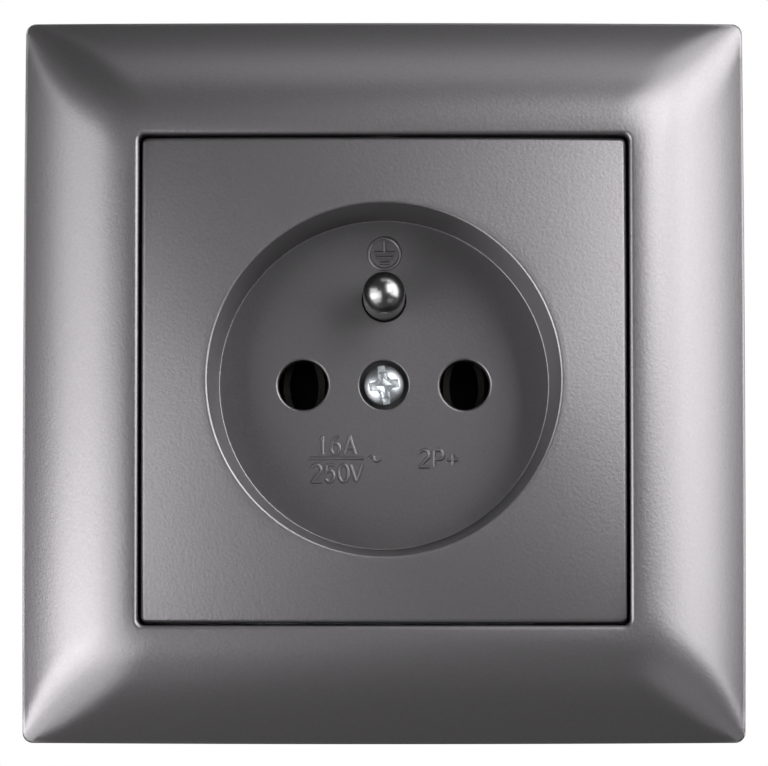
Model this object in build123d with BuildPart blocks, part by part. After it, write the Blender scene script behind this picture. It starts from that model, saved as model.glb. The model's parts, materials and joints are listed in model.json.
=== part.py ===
from build123d import *
import math
import os

os.makedirs("parts", exist_ok=True)

# Earthed wall socket with an earth pin, for a round flush box.
# +Z is up and the front faces -Y. The origin is the middle of the wall plane, which is the back
# edge of the cover frame. A height is a distance in front of that plane, so it runs along -Y, and
# what lies inside the wall has a negative height. Lengths are in millimetres, angles in degrees.

# Cover frame
frame_side = 83.0
frame_bow = 0.15  # swell of each side at its middle
frame_wall = 2.0
frame_corner = 1.2
crown_corner = 9.0  # plan radius of the soft corner diagonals, at the summit of the crown
crown_inner_slope = 8.0
crown_outer_slope = 45.0
crown_steps = 6
summit_bow = 0.002  # the sides are all but straight at the summit
front_height = 10.0  # front of the frame's opening and of the centre plate
rim_rounding = 0.6
opening_rounding = 0.4
opening_corner = 0.8
reveal = 0.3  # gap between the frame's opening and the centre plate
collar_wall = 1.5
collar_back = 4.2
seat_thickness = 2.0
seat_reach = 2.6
seat_length = 12.0
rib_thickness = 1.2
rib_spacing = 32.0
rib_back = 5.0

# Centre plate with the plug well
plate_side = 55.0
plate_thickness = 2.2
plate_corner = 0.7
plate_rounding = 0.4
skirt_wall = 1.6
well_mouth_radius = 19.8
well_floor_radius = 19.4
well_depth = 15.0
well_wall = 1.6
well_rounding = 0.6
floor_rounding = 0.25  # where the wall of the well meets its floor
floor_thickness = 2.5
pin_spacing = 19.0
pin_hole_radius = 2.9
pin_hole_rounding = 0.3
screw_well_radius = 2.9
screw_well_depth = 1.6
web_thickness = 1.2
web_depth = 4.0
skirt_relief_gap = 2.0  # round the heads of the claw screws

# Earth pin and strap
earth_pin_radius = 2.4
earth_pin_reach = 14.0  # from the floor of the well to the tip
earth_pin_offset = 10.0  # above the line of the two pin holes
earth_pin_clearance = 0.2
earth_shank_radius = 2.1  # behind the floor of the well
earth_flange_radius = 3.5
earth_flange_thickness = 1.5
rivet_radius = 1.3
rivet_head_radius = 1.9
rivet_head_height = 0.9

# Support plate
support_gap = 4.0  # between the plate's edge and the wall of the cover frame
support_thickness = 1.0
support_chamfer = 6.0
support_opening_clearance = 0.6
box_screw_spacing = 60.0
box_slot_width = 3.4
box_slot_length = 3.8
bend_rounding = 0.6  # outside of the folds
fold_height = 3.0
fold_length = 44.0
leg_width = 9.0
leg_length = 10.0
leg_relief = 0.5
leg_window_width = 5.0
leg_window_height = 2.6
leg_window_drop = 4.2  # from the back of the plate to the window

# Socket base
base_depth = 19.5
base_width = 35.0
base_height = 43.0
base_corner_cut = 1.92  # taken off the corners so that the base clears a round box
base_corner = 2.0
base_chamfer = 1.0
arm_width = 16.0
arm_thickness = 2.2
arm_clearance = 0.5
arm_foot = 4.0
nub_height = 0.8
chamber_width = 8.0
chamber_height = 10.4
chamber_depth = 16.0
pocket_gap = 0.3
wire_hole_radius = 1.5

# Contacts and terminals
strip_thickness = 0.8
strip_drop = 3.5  # from the front of the base to the front of the strips
leaf_length = 11.5
leaf_gap = 3.4
leaf_throat = 2.2
leaf_half_height = 2.6
web_half_width = 2.0
web_drop = 4.4
lip_spread = 2.4
lip_rise = 4.2
neck_width = 4.4
pad_side = 8.0
terminal_drop = 14.2  # line and neutral terminals, below the pin holes
earth_terminal_rise = 17.0  # earth terminal, above the pin holes
terminal_screw_radius = 1.6
terminal_head_radius = 3.0
terminal_head_height = 2.2
terminal_screw_length = 8.5
clamp_side = 7.0
clamp_thickness = 2.2
clamp_gap = 3.2  # room for the wire between strip and clamp
clamp_clearance = 0.2
wire_groove_radius = 1.1
wire_groove_depth = 0.35
thread_clearance = 0.1

# Cover screw and its nut
cover_screw_radius = 1.5
cover_head_radius = 2.35
cover_head_height = 1.6
cover_screw_length = 16.0
hole_clearance = 0.2
nut_side = 5.5
nut_thickness = 2.0
nut_clearance = 0.15
cover_nut_drop = 11.5  # from the front of the base to the seat of the nut

# Spreading claws
claw_screw_radius = 1.5
claw_head_radius = 2.5
claw_head_height = 2.2
claw_screw_length = 26.5
claw_thickness = 1.2
claw_angle = 45.0  # between the ramp and the socket's axis
claw_travel = 4.5  # outward reach of the claws when drawn up
claw_gap = 1.7  # between the base and the root of the claw
claw_hole_web = 1.1  # metal between the claw screw's hole and the middle of the support plate
toe_wall = 0.6  # beyond the slot for the screw, before the teeth
claw_foot_depth = 20.4
flange_bearing = 2.14  # what is left of the flange on the ramp when the claw is drawn up
flange_ear = 1.2  # how far the flange stands out beside the foot
claw_slot_clearance = 0.4
claw_nut_gap = 0.1
claw_tooth_depth = 1.1
claw_teeth = 4
ramp_overhang = 1.5  # how far the ramps reach past the claw screw
ramp_nose = 1.4
ramp_root_depth = 1.0  # how far the ramps run into the body of the base
ramp_clearance = 0.25
slide_clearance = 0.15

# Screw recesses
slot_width = 0.85
slot_depth = 0.75
cross_length = 3.4
cross_width = 1.1
cross_depth = 1.2
cover_screw_turn = 8.5  # how far the slot of the cover screw stands off the vertical
tip_chamfer = 0.4

# Values that follow from the sizes above
frame_half = frame_side / 2
support_side = frame_side - 2 * (frame_wall + support_gap)
plate_half = plate_side / 2
opening_half = plate_half + reveal
inner_slope = math.radians(crown_inner_slope)
outer_slope = math.radians(crown_outer_slope)
crown_radius = (frame_half - opening_half) / (math.sin(outer_slope) - math.sin(inner_slope))
crown_axis = opening_half - crown_radius * math.sin(inner_slope)
crown_centre = front_height - crown_radius * math.cos(inner_slope)
rim_height = crown_centre + crown_radius * math.cos(outer_slope)
seat_front = support_thickness + seat_thickness
floor_height = front_height - well_depth
base_front = floor_height - floor_thickness
base_back = base_front - base_depth
well_outer_radius = well_mouth_radius + well_wall
pin_half_spacing = pin_spacing / 2
strip_front = base_front - strip_drop
strip_back = strip_front - strip_thickness
arm_inner = well_outer_radius + arm_clearance
arm_outer = arm_inner + arm_thickness
arm_middle = (arm_inner + arm_outer) / 2
leg_inner = arm_outer + slide_clearance
cover_nut_front = base_front - cover_nut_drop
clamp_front = strip_back - clamp_gap
base_half = base_width / 2
base_radius = math.hypot(base_half, base_height / 2) - base_corner_cut
claw_root = base_half + claw_gap
support_opening_radius = well_outer_radius + support_opening_clearance
claw_hole_radius = claw_screw_radius + 2 * hole_clearance
claw_screw_offset = support_opening_radius + claw_hole_web + claw_hole_radius
claw_slot_half = claw_screw_radius + claw_slot_clearance
slot_end = claw_screw_offset + claw_slot_half
lip_end = slot_end + toe_wall
claw_tip = lip_end + claw_tooth_depth
ramp_reach = claw_screw_offset + ramp_overhang
claw_foot_back = -claw_foot_depth
claw_sine = math.sin(math.radians(claw_angle))
claw_cosine = math.cos(math.radians(claw_angle))
claw_flange_length = claw_travel / claw_sine + flange_bearing
claw_half_width = nut_side / 2 + nut_clearance + claw_thickness
flange_half_width = claw_half_width + flange_ear
ramp_inner = nut_side / 2 + ramp_clearance
terminals = {
    "line": (-pin_half_spacing, -terminal_drop),
    "neutral": (pin_half_spacing, -terminal_drop),
    "earth": (0.0, earth_terminal_rise),
}
sides = {"left": -1, "right": 1}


def in_front(height, x=0, z=0):
    """Plane of the front view at a height, with X across and Z up, centred on a point."""
    return Plane(origin=(x, -height, z), x_dir=(1, 0, 0), z_dir=(0, -1, 0))


def section(x, z):
    """Plane of the plan section through a point, with X across and the height up."""
    return Plane(origin=(x, 0, z), x_dir=(1, 0, 0), z_dir=(0, 0, -1))


def bowed_square(height, half, bow, corner):
    """Square outline at a height, with sides that swell and rounded corners."""
    edge = half - bow
    corners = [(-edge, -edge), (edge, -edge), (edge, edge), (-edge, edge)]
    with BuildSketch(in_front(height)) as outline:
        with BuildLine():
            for start, end in zip(corners, corners[1:] + corners[:1]):
                SagittaArc(start, end, -bow)
        make_face()
        fillet(outline.vertices(), corner)
    return outline.sketch


def crown_sections(radius, last_slope):
    """Outlines of the crown from its outer edge up to its summit, for an arc of this radius."""
    outlines = []
    for step in range(crown_steps + 1):
        share = 1 - step / crown_steps
        slope = last_slope * share
        half = crown_axis + radius * math.sin(slope)
        height = crown_centre + radius * math.cos(slope)
        corner = frame_corner + (crown_corner - frame_corner) * math.sin(math.pi / 2 * (1 - share))
        outlines.append(bowed_square(height, half, max(frame_bow * share, summit_bow), corner))
    return outlines


def screw(x, z, seat, head_radius, head_height, shank_radius, length, turn=0.0):
    """Domed screw along the socket's axis, with a cross and a slot in its head."""
    edge = head_height / 2
    top = seat + head_height
    with BuildPart() as body:
        with BuildSketch(section(x, z)):
            with BuildLine():
                Polyline(
                    (0, top),
                    (0, seat - length),
                    (shank_radius, seat - length),
                    (shank_radius, seat),
                    (head_radius, seat),
                    (head_radius, seat + edge),
                )
                TangentArc((0, top), (head_radius, seat + edge), tangent=(1, 0))
            make_face()
        revolve(axis=Axis((x, 0, z), (0, 1, 0)))
        tip_edges = body.edges().sort_by(Axis.Y)[-1]
        chamfer(tip_edges, tip_chamfer)
        with BuildSketch(in_front(top)):
            with Locations((x, z)):
                Rectangle(slot_width, 2 * head_radius + slot_width, rotation=turn)
        extrude(amount=-slot_depth, mode=Mode.SUBTRACT)
        with BuildSketch(in_front(top)):
            with Locations((x, z)):
                Rectangle(cross_width, cross_length, rotation=turn)
                Rectangle(cross_length, cross_width, rotation=turn)
        extrude(amount=-cross_depth, mode=Mode.SUBTRACT)
    return body.part


def square_nut(x, z, front, bore_radius):
    """Square nut along the socket's axis with its front face at a height."""
    with BuildPart() as body:
        with BuildSketch(in_front(front)):
            with Locations((x, z)):
                Rectangle(nut_side, nut_side)
                Circle(bore_radius, mode=Mode.SUBTRACT)
        extrude(amount=-nut_thickness)
    return body.part


# Hollow of the cover frame: the inside of the crown, less what stands in it, which is the collar
# round the opening, the seats for the centre plate at its corners, and the stiffening ribs
cavity_radius = crown_radius - frame_wall
cavity_slope = math.asin((frame_half - frame_wall - crown_axis) / cavity_radius)
cavity_rim = crown_centre + cavity_radius * math.cos(cavity_slope)
collar_half = opening_half + collar_wall
seat_middle = collar_half - seat_length / 2
with BuildPart() as frame_hollow:
    extrude(bowed_square(0, frame_half - frame_wall, frame_bow, frame_corner), amount=cavity_rim)
    loft(sections=crown_sections(cavity_radius, cavity_slope))
    with BuildSketch(in_front(collar_back)):
        Rectangle(2 * collar_half, 2 * collar_half)
    extrude(amount=front_height, mode=Mode.SUBTRACT)
    with BuildSketch(in_front(support_thickness)):
        with GridLocations(2 * seat_middle, 2 * seat_middle, 2, 2):
            Rectangle(seat_length, seat_length)
        Rectangle(2 * (opening_half - seat_reach), 2 * (opening_half - seat_reach), mode=Mode.SUBTRACT)
    extrude(amount=front_height, mode=Mode.SUBTRACT)
    with BuildSketch(in_front(rib_back)):
        with Locations((0, -rib_spacing / 2), (0, rib_spacing / 2)):
            Rectangle(frame_side, rib_thickness)
        with Locations((-rib_spacing / 2, 0), (rib_spacing / 2, 0)):
            Rectangle(rib_thickness, frame_side)
    extrude(amount=front_height, mode=Mode.SUBTRACT)

# Cover frame: a crowned moulding with soft corner diagonals, hollow at the back
with BuildPart() as cover_frame:
    extrude(bowed_square(0, frame_half, frame_bow, frame_corner), amount=rim_height)
    loft(sections=crown_sections(crown_radius, outer_slope))
    fillet(cover_frame.edges().filter_by_position(Axis.Y, -rim_height, -rim_height), rim_rounding)
    add(frame_hollow.part, mode=Mode.SUBTRACT)
    with BuildSketch(in_front(seat_front)):
        RectangleRounded(2 * opening_half, 2 * opening_half, opening_corner)
    extrude(amount=front_height, mode=Mode.SUBTRACT)
    front_edges = cover_frame.edges().filter_by_position(
        Axis.Y, -front_height - opening_rounding, -front_height + 2 * opening_rounding
    )
    fillet(front_edges, opening_rounding)
cover_frame.part.label = "cover_frame"
export_step(cover_frame.part, "parts/cover_frame.step")

# Centre plate: flat front, skirt, and the round plug well in one moulding
with BuildPart() as centre_plate:
    with BuildSketch(in_front(seat_front)):
        RectangleRounded(plate_side, plate_side, plate_corner)
    extrude(amount=front_height - seat_front)
    fillet(centre_plate.edges().group_by(Axis.Y)[0], plate_rounding)
    with BuildSketch(in_front(seat_front)):
        Rectangle(plate_side - 2 * skirt_wall, plate_side - 2 * skirt_wall)
    extrude(amount=front_height - plate_thickness - seat_front, mode=Mode.SUBTRACT)
    plate_back = front_height - plate_thickness
    web_length = math.sqrt(2) * plate_side
    with BuildSketch(in_front(plate_back - web_depth)):
        Rectangle(web_length, web_thickness, rotation=45)
        Rectangle(web_length, web_thickness, rotation=-45)
        Rectangle(plate_side - skirt_wall, plate_side - skirt_wall, mode=Mode.INTERSECT)
    extrude(amount=web_depth + plate_thickness / 2)
    with BuildSketch(in_front(base_front)):
        Circle(well_outer_radius)
    extrude(amount=plate_back - base_front)
    with BuildSketch(section(0, 0)):
        with BuildLine():
            Polyline(
                (0, floor_height),
                (well_floor_radius, floor_height),
                (well_mouth_radius, front_height),
                (0, front_height),
                close=True,
            )
        make_face()
    revolve(axis=Axis.Y, mode=Mode.SUBTRACT)
    mouth = centre_plate.edges().group_by(Axis.Y)[0].sort_by(SortBy.LENGTH)[-1]
    fillet(mouth, well_rounding)
    floor_edge = centre_plate.edges().filter_by_position(Axis.Y, -floor_height, -floor_height)
    fillet(floor_edge.sort_by(SortBy.LENGTH)[-1], floor_rounding)
    with Locations(in_front(floor_height)):
        with Locations((-pin_half_spacing, 0), (pin_half_spacing, 0)):
            Hole(pin_hole_radius, depth=floor_thickness)
        with Locations((0, earth_pin_offset)):
            Hole(earth_pin_radius + earth_pin_clearance, depth=floor_thickness)
        CounterBoreHole(
            cover_screw_radius + hole_clearance,
            screw_well_radius,
            screw_well_depth,
            depth=floor_thickness,
        )
    hole_edges = (
        centre_plate.edges()
        .filter_by(GeomType.CIRCLE)
        .filter_by_position(Axis.Y, -floor_height, -floor_height)
        .filter_by(lambda edge: abs(edge.radius - pin_hole_radius) < pin_hole_rounding)
        .filter_by(lambda edge: abs(edge.arc_center.X) > pin_half_spacing / 2)
    )
    fillet(hole_edges, pin_hole_rounding)
    # Reliefs in the skirt over the heads of the claw screws
    relief_width = 2 * (claw_head_radius + skirt_relief_gap)
    relief_top = support_thickness + claw_head_height + skirt_relief_gap
    with BuildSketch(in_front(seat_front)):
        with Locations((-claw_screw_offset, 0), (claw_screw_offset, 0)):
            Rectangle(2 * (plate_half - claw_screw_offset) + skirt_wall, relief_width)
    extrude(amount=relief_top - seat_front, mode=Mode.SUBTRACT)
centre_plate.part.label = "centre_plate"
export_step(centre_plate.part, "parts/centre_plate.step")

# Cover screw and the square nut that takes it
cover_seat = floor_height - screw_well_depth
with BuildPart() as cover_screw:
    add(
        screw(
            0,
            0,
            cover_seat,
            cover_head_radius,
            cover_head_height,
            cover_screw_radius,
            cover_screw_length,
            cover_screw_turn,
        )
    )
cover_screw.part.label = "cover_screw"
export_step(cover_screw.part, "parts/cover_screw.step")

with BuildPart() as cover_nut:
    add(square_nut(0, 0, cover_nut_front, cover_screw_radius + thread_clearance))
cover_nut.part.label = "cover_nut"
export_step(cover_nut.part, "parts/cover_nut.step")

# Support plate: pressed sheet with folded edges and two legs that hold the base
fold_middle = (support_side - support_thickness) / 2
leg_root = leg_inner + support_thickness + leg_relief
with BuildPart() as support_plate:
    with BuildSketch(in_front(0)) as sheet:
        Rectangle(support_side, support_side)
        chamfer(sheet.vertices(), support_chamfer)
        Circle(support_opening_radius, mode=Mode.SUBTRACT)
        Rectangle(leg_width + 2 * leg_relief, 2 * leg_root, mode=Mode.SUBTRACT)
        with Locations((0, -box_screw_spacing / 2), (0, box_screw_spacing / 2)):
            SlotOverall(box_slot_length, box_slot_width, rotation=90, mode=Mode.SUBTRACT)
        with Locations((-claw_screw_offset, 0), (claw_screw_offset, 0)):
            Circle(claw_hole_radius, mode=Mode.SUBTRACT)
        for end in (-1, 1):
            with Locations((0, end * (leg_inner + leg_root) / 2)):
                Rectangle(leg_width, leg_root - leg_inner)
    extrude(amount=support_thickness)
    with BuildSketch(in_front(0)):
        with Locations((-fold_middle, 0), (fold_middle, 0)):
            Rectangle(support_thickness, fold_length)
    extrude(amount=fold_height)
    for end in (-1, 1):
        with BuildSketch(in_front(0)):
            with Locations((0, end * (leg_inner + support_thickness / 2))):
                Rectangle(leg_width, support_thickness)
        extrude(amount=-leg_length)
        with BuildSketch(Plane.XY.offset(end * leg_inner)):
            with Locations((0, leg_window_drop + leg_window_height / 2)):
                Rectangle(leg_window_width, leg_window_height)
        extrude(amount=end * support_thickness, mode=Mode.SUBTRACT)
    # Rounded outsides of the folds at the edges and at the legs
    back_edges = support_plate.edges().filter_by_position(Axis.Y, 0, 0).filter_by(Axis.Z)
    front_edges = support_plate.edges().filter_by_position(Axis.Y, -support_thickness, -support_thickness)
    leg_edges = front_edges.filter_by(Axis.X).sort_by(lambda edge: abs(abs(edge.center().Z) - leg_inner))
    fillet(back_edges.sort_by(Axis.X)[:1] + back_edges.sort_by(Axis.X)[-1:] + leg_edges[:2], bend_rounding)
support_plate.part.label = "support_plate"
export_step(support_plate.part, "parts/support_plate.step")

# Socket base: one moulding with contact chambers, terminal pockets and the ramps for the claws
pad_pocket = pad_side + 2 * pocket_gap
clamp_pocket = clamp_side + 2 * clamp_clearance
ramp_root = base_half - ramp_root_depth
ramp_gap_x = claw_root - ramp_clearance * claw_cosine
ramp_gap_height = claw_foot_back + ramp_clearance * claw_sine


def ramp_height(x):
    """Height of the claw ramp at a distance from the middle of the socket."""
    return ramp_gap_height + (x - ramp_gap_x) / claw_sine * claw_cosine


with BuildPart() as socket_base:
    with BuildSketch(in_front(base_front)) as base_outline:
        Circle(base_radius)
        Rectangle(base_width, base_height, mode=Mode.INTERSECT)
        fillet(base_outline.vertices(), base_corner)
    extrude(amount=-base_depth)
    chamfer(socket_base.edges().group_by(Axis.Y)[-1], base_chamfer)
    with BuildSketch(in_front(base_front)):
        Rectangle(arm_width, 2 * arm_outer)
    extrude(amount=-arm_foot)
    with BuildSketch(in_front(base_front)):
        with Locations((0, -arm_middle), (0, arm_middle)):
            Rectangle(arm_width, arm_thickness)
    extrude(amount=-base_front)
    nub_middle = -leg_window_drop - leg_window_height / 2
    for end in (-1, 1):
        with BuildSketch(Plane.XY.offset(end * arm_outer)):
            with Locations((0, -nub_middle)):
                Rectangle(leg_window_width - 2 * slide_clearance, leg_window_height - 2 * slide_clearance)
        extrude(amount=end * nub_height)

    # Ramps that push the claws outwards, two on each side, with the claw screw between them
    for side in sides.values():
        with BuildSketch(section(0, 0)):
            with BuildLine():
                Polyline(
                    (side * ramp_root, ramp_height(ramp_root)),
                    (side * ramp_reach, ramp_height(ramp_reach)),
                    (side * ramp_reach, ramp_height(ramp_reach) + ramp_nose),
                    (side * ramp_root, ramp_height(ramp_reach) + ramp_nose),
                    close=True,
                )
            make_face()
        extrude(amount=flange_half_width, both=True)
    with BuildSketch(in_front(base_front)):
        with Locations((-claw_screw_offset, 0), (claw_screw_offset, 0)):
            Rectangle(2 * (claw_screw_offset - base_half), 2 * ramp_inner)
    extrude(amount=-base_depth, mode=Mode.SUBTRACT)

    # Chambers for the contacts, channels for the strips and pockets for the terminals
    with BuildSketch(in_front(base_front)):
        with Locations((-pin_half_spacing, 0), (pin_half_spacing, 0)):
            Rectangle(chamber_width, chamber_height)
    extrude(amount=-chamber_depth, mode=Mode.SUBTRACT)
    with BuildSketch(in_front(base_front)):
        for x, z in terminals.values():
            with Locations((x, z)):
                Rectangle(pad_pocket, pad_pocket)
        with Locations((-pin_half_spacing, -terminal_drop / 2), (pin_half_spacing, -terminal_drop / 2)):
            Rectangle(neck_width + 2 * pocket_gap, terminal_drop)
        with Locations((0, earth_pin_offset)):
            Circle(earth_flange_radius + pocket_gap)
        with Locations((0, (earth_pin_offset + earth_terminal_rise) / 2)):
            Rectangle(2 * (earth_flange_radius + pocket_gap), earth_terminal_rise - earth_pin_offset)
    extrude(amount=-strip_drop - strip_thickness, mode=Mode.SUBTRACT)
    clamp_room = terminal_screw_length + clamp_clearance
    with BuildSketch(in_front(strip_front)):
        for x, z in terminals.values():
            with Locations((x, z)):
                Rectangle(clamp_pocket, clamp_pocket)
    extrude(amount=-clamp_room, mode=Mode.SUBTRACT)
    with BuildSketch(in_front(strip_back)):
        with Locations((0, earth_pin_offset)):
            Circle(rivet_head_radius + pocket_gap)
    extrude(amount=-rivet_head_height - pocket_gap, mode=Mode.SUBTRACT)

    # Wire entries from below for line and neutral, and from above for earth
    wire_height = strip_back - clamp_gap / 2
    wire_side = (clamp_side / 2 + terminal_screw_radius) / 2
    for x, z in terminals.values():
        outward = math.copysign(1, z)
        with BuildSketch(Plane.XY.offset(z)):
            with Locations((x - wire_side, -wire_height), (x + wire_side, -wire_height)):
                Circle(wire_hole_radius)
        extrude(amount=outward * base_radius, mode=Mode.SUBTRACT)

    # Hole for the cover screw and the square pocket for its nut
    with Locations(in_front(base_front)):
        Hole(cover_screw_radius + hole_clearance, depth=base_depth)
    with BuildSketch(in_front(cover_nut_front)):
        Rectangle(nut_side + 2 * nut_clearance, nut_side + 2 * nut_clearance)
    extrude(amount=base_back - cover_nut_front, mode=Mode.SUBTRACT)
socket_base.part.label = "socket_base"
export_step(socket_base.part, "parts/socket_base.step")

# Line and neutral contacts: folded spring strips with two leaves and a pad for the terminal screw
leaf_mid = leaf_gap / 2 + strip_thickness / 2
leaf_end = leaf_throat / 2 + strip_thickness / 2
for name, x in (("line", -pin_half_spacing), ("neutral", pin_half_spacing)):
    with BuildPart() as contact:
        with BuildSketch(in_front(strip_front, x)):
            with BuildLine():
                Line((-web_half_width, -web_drop), (web_half_width, -web_drop))
                for turn in (-1, 1):
                    Line((turn * web_half_width, -web_drop), (turn * leaf_end, -leaf_half_height))
                    ThreePointArc(
                        (turn * leaf_end, -leaf_half_height),
                        (turn * leaf_mid, 0),
                        (turn * leaf_end, leaf_half_height),
                    )
                    Line((turn * leaf_end, leaf_half_height), (turn * lip_spread, lip_rise))
                offset(amount=strip_thickness / 2, side=Side.BOTH)
            make_face()
        extrude(amount=-leaf_length)
        with BuildSketch(in_front(strip_front)):
            with Locations((x, -(web_drop + terminal_drop) / 2)):
                Rectangle(neck_width, terminal_drop - web_drop)
            with Locations((x, -terminal_drop)):
                Rectangle(pad_side, pad_side)
                Circle(terminal_screw_radius + hole_clearance, mode=Mode.SUBTRACT)
        extrude(amount=-strip_thickness)
    contact.part.label = f"{name}_contact"
    export_step(contact.part, f"parts/{name}_contact.step")

# Earth pin: turned, with a domed tip, a flange, and a rivet end that holds the strap
pin_tip = floor_height + earth_pin_reach
flange_back = strip_front
rivet_back = strip_back - rivet_head_height
with BuildPart() as earth_pin:
    with BuildSketch(section(0, earth_pin_offset)):
        with BuildLine():
            Polyline(
                (0, pin_tip),
                (0, rivet_back),
                (rivet_head_radius, rivet_back),
                (rivet_head_radius, strip_back),
                (rivet_radius, strip_back),
                (rivet_radius, flange_back),
                (earth_flange_radius, flange_back),
                (earth_flange_radius, flange_back + earth_flange_thickness),
                (earth_shank_radius, flange_back + earth_flange_thickness),
                (earth_shank_radius, floor_height),
                (earth_pin_radius, floor_height),
                (earth_pin_radius, pin_tip - earth_pin_radius),
            )
            RadiusArc((earth_pin_radius, pin_tip - earth_pin_radius), (0, pin_tip), -earth_pin_radius)
        make_face()
    revolve(axis=Axis((0, 0, earth_pin_offset), (0, 1, 0)))
earth_pin.part.label = "earth_pin"
export_step(earth_pin.part, "parts/earth_pin.step")

# Earth strap: flat strip from the earth pin to its terminal
with BuildPart() as earth_strap:
    with BuildSketch(in_front(strip_front)):
        with Locations((0, earth_pin_offset)):
            Circle(earth_flange_radius)
        with Locations((0, (earth_pin_offset + earth_terminal_rise) / 2)):
            Rectangle(2 * earth_flange_radius, earth_terminal_rise - earth_pin_offset)
        with Locations((0, earth_terminal_rise)):
            Rectangle(pad_side, pad_side)
            Circle(terminal_screw_radius + hole_clearance, mode=Mode.SUBTRACT)
        with Locations((0, earth_pin_offset)):
            Circle(rivet_radius, mode=Mode.SUBTRACT)
    extrude(amount=-strip_thickness)
earth_strap.part.label = "earth_strap"
export_step(earth_strap.part, "parts/earth_strap.step")

# Terminal screws, one group of three, and the clamping plates under them
with BuildPart() as terminal_screws:
    for x, z in terminals.values():
        add(
            screw(
                x,
                z,
                strip_front,
                terminal_head_radius,
                terminal_head_height,
                terminal_screw_radius,
                terminal_screw_length,
            )
        )
terminal_screws.part.label = "terminal_screws"
export_step(terminal_screws.part, "parts/terminal_screws.step")

for name, (x, z) in terminals.items():
    with BuildPart() as clamp:
        with BuildSketch(in_front(clamp_front)):
            with Locations((x, z)):
                Rectangle(clamp_side, clamp_side)
                Circle(terminal_screw_radius + thread_clearance, mode=Mode.SUBTRACT)
        extrude(amount=-clamp_thickness)
        groove_height = clamp_front + wire_groove_radius - wire_groove_depth
        with BuildSketch(Plane.XY.offset(z)):
            with Locations((x - wire_side, -groove_height), (x + wire_side, -groove_height)):
                Circle(wire_groove_radius)
        extrude(amount=clamp_side, both=True, mode=Mode.SUBTRACT)
    clamp.part.label = f"{name}_clamp"
    export_step(clamp.part, f"parts/{name}_clamp.step")

# Spreading claws: folded steel that slides up the ramps when its screw draws the nut forwards
flange_x = claw_root + claw_flange_length * claw_sine
flange_height = claw_foot_back + claw_flange_length * claw_cosine
fold_x = claw_root + claw_thickness * (claw_cosine + (1 + claw_sine) * claw_sine / claw_cosine)
foot_front = claw_foot_back + claw_thickness
lip_back = claw_foot_back - claw_nut_gap - nut_thickness - slide_clearance
lip_inner = nut_side / 2 + nut_clearance
tooth_pitch = 2 * claw_half_width / claw_teeth
for name, side in sides.items():
    with BuildPart() as claw:
        with BuildSketch(section(0, 0)):
            with BuildLine():
                Polyline(
                    (side * claw_root, claw_foot_back),
                    (side * claw_tip, claw_foot_back),
                    (side * claw_tip, foot_front),
                    (side * fold_x, foot_front),
                    (
                        side * (flange_x + claw_thickness * claw_cosine),
                        flange_height - claw_thickness * claw_sine,
                    ),
                    (side * flange_x, flange_height),
                    close=True,
                )
            make_face()
        extrude(amount=flange_half_width, both=True)
        foot_middle = side * (fold_x + claw_tip) / 2
        with BuildSketch(in_front(claw_foot_back)):
            with Locations((foot_middle, 0)):
                Rectangle(claw_tip - fold_x, 2 * flange_half_width)
                Rectangle(claw_tip - fold_x, 2 * claw_half_width, mode=Mode.SUBTRACT)
        extrude(amount=claw_thickness, mode=Mode.SUBTRACT)
        # Lips that keep the nut from turning, with tabs behind it
        lip_middle = side * (claw_root + lip_end) / 2
        with BuildSketch(in_front(claw_foot_back)):
            with Locations((lip_middle, 0)):
                Rectangle(lip_end - claw_root, 2 * claw_half_width)
                Rectangle(lip_end - claw_root, 2 * lip_inner, mode=Mode.SUBTRACT)
        extrude(amount=lip_back - claw_foot_back)
        with BuildSketch(in_front(lip_back)):
            with Locations((lip_middle, 0)):
                Rectangle(lip_end - claw_root, 2 * claw_half_width)
        extrude(amount=-claw_thickness)
        # Slot for the screw and teeth on the outer edge
        with BuildSketch(in_front(lip_back - claw_thickness)):
            with Locations((side * claw_screw_offset, 0)):
                Circle(claw_slot_half)
            with Locations((side * (claw_screw_offset - claw_tip / 2), 0)):
                Rectangle(claw_tip, 2 * claw_slot_half)
        extrude(amount=base_depth, mode=Mode.SUBTRACT)
        with BuildSketch(in_front(claw_foot_back)):
            for tooth in range(claw_teeth):
                notch = (tooth - claw_teeth / 2) * tooth_pitch
                with BuildLine():
                    Polyline(
                        (side * claw_tip, notch),
                        (side * (claw_tip - claw_tooth_depth), notch + tooth_pitch / 2),
                        (side * claw_tip, notch + tooth_pitch),
                        close=True,
                    )
                make_face()
        extrude(amount=claw_thickness, mode=Mode.SUBTRACT)
    claw.part.label = f"claw_{name}"
    export_step(claw.part, f"parts/claw_{name}.step")

    with BuildPart() as claw_screw:
        add(
            screw(
                side * claw_screw_offset,
                0,
                support_thickness,
                claw_head_radius,
                claw_head_height,
                claw_screw_radius,
                claw_screw_length,
            )
        )
    claw_screw.part.label = f"claw_screw_{name}"
    export_step(claw_screw.part, f"parts/claw_screw_{name}.step")

    with BuildPart() as claw_nut:
        add(
            square_nut(
                side * claw_screw_offset,
                0,
                claw_foot_back - claw_nut_gap,
                claw_screw_radius + thread_clearance,
            )
        )
    claw_nut.part.label = f"claw_nut_{name}"
    export_step(claw_nut.part, f"parts/claw_nut_{name}.step")
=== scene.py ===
"""Looks of an earthed wall socket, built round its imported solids.

The front faces -Y, +Z is up and the wall plane is Y = 0. Blender works in metres, while the sizes of
the socket's own details are written in millimetres, as a maker would give them. A height is a distance
in front of the wall plane, so what lies inside the wall has a negative height.
"""

from __future__ import annotations

import json
import logging
import math
from collections.abc import Sequence
from dataclasses import dataclass
from enum import Enum

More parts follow.
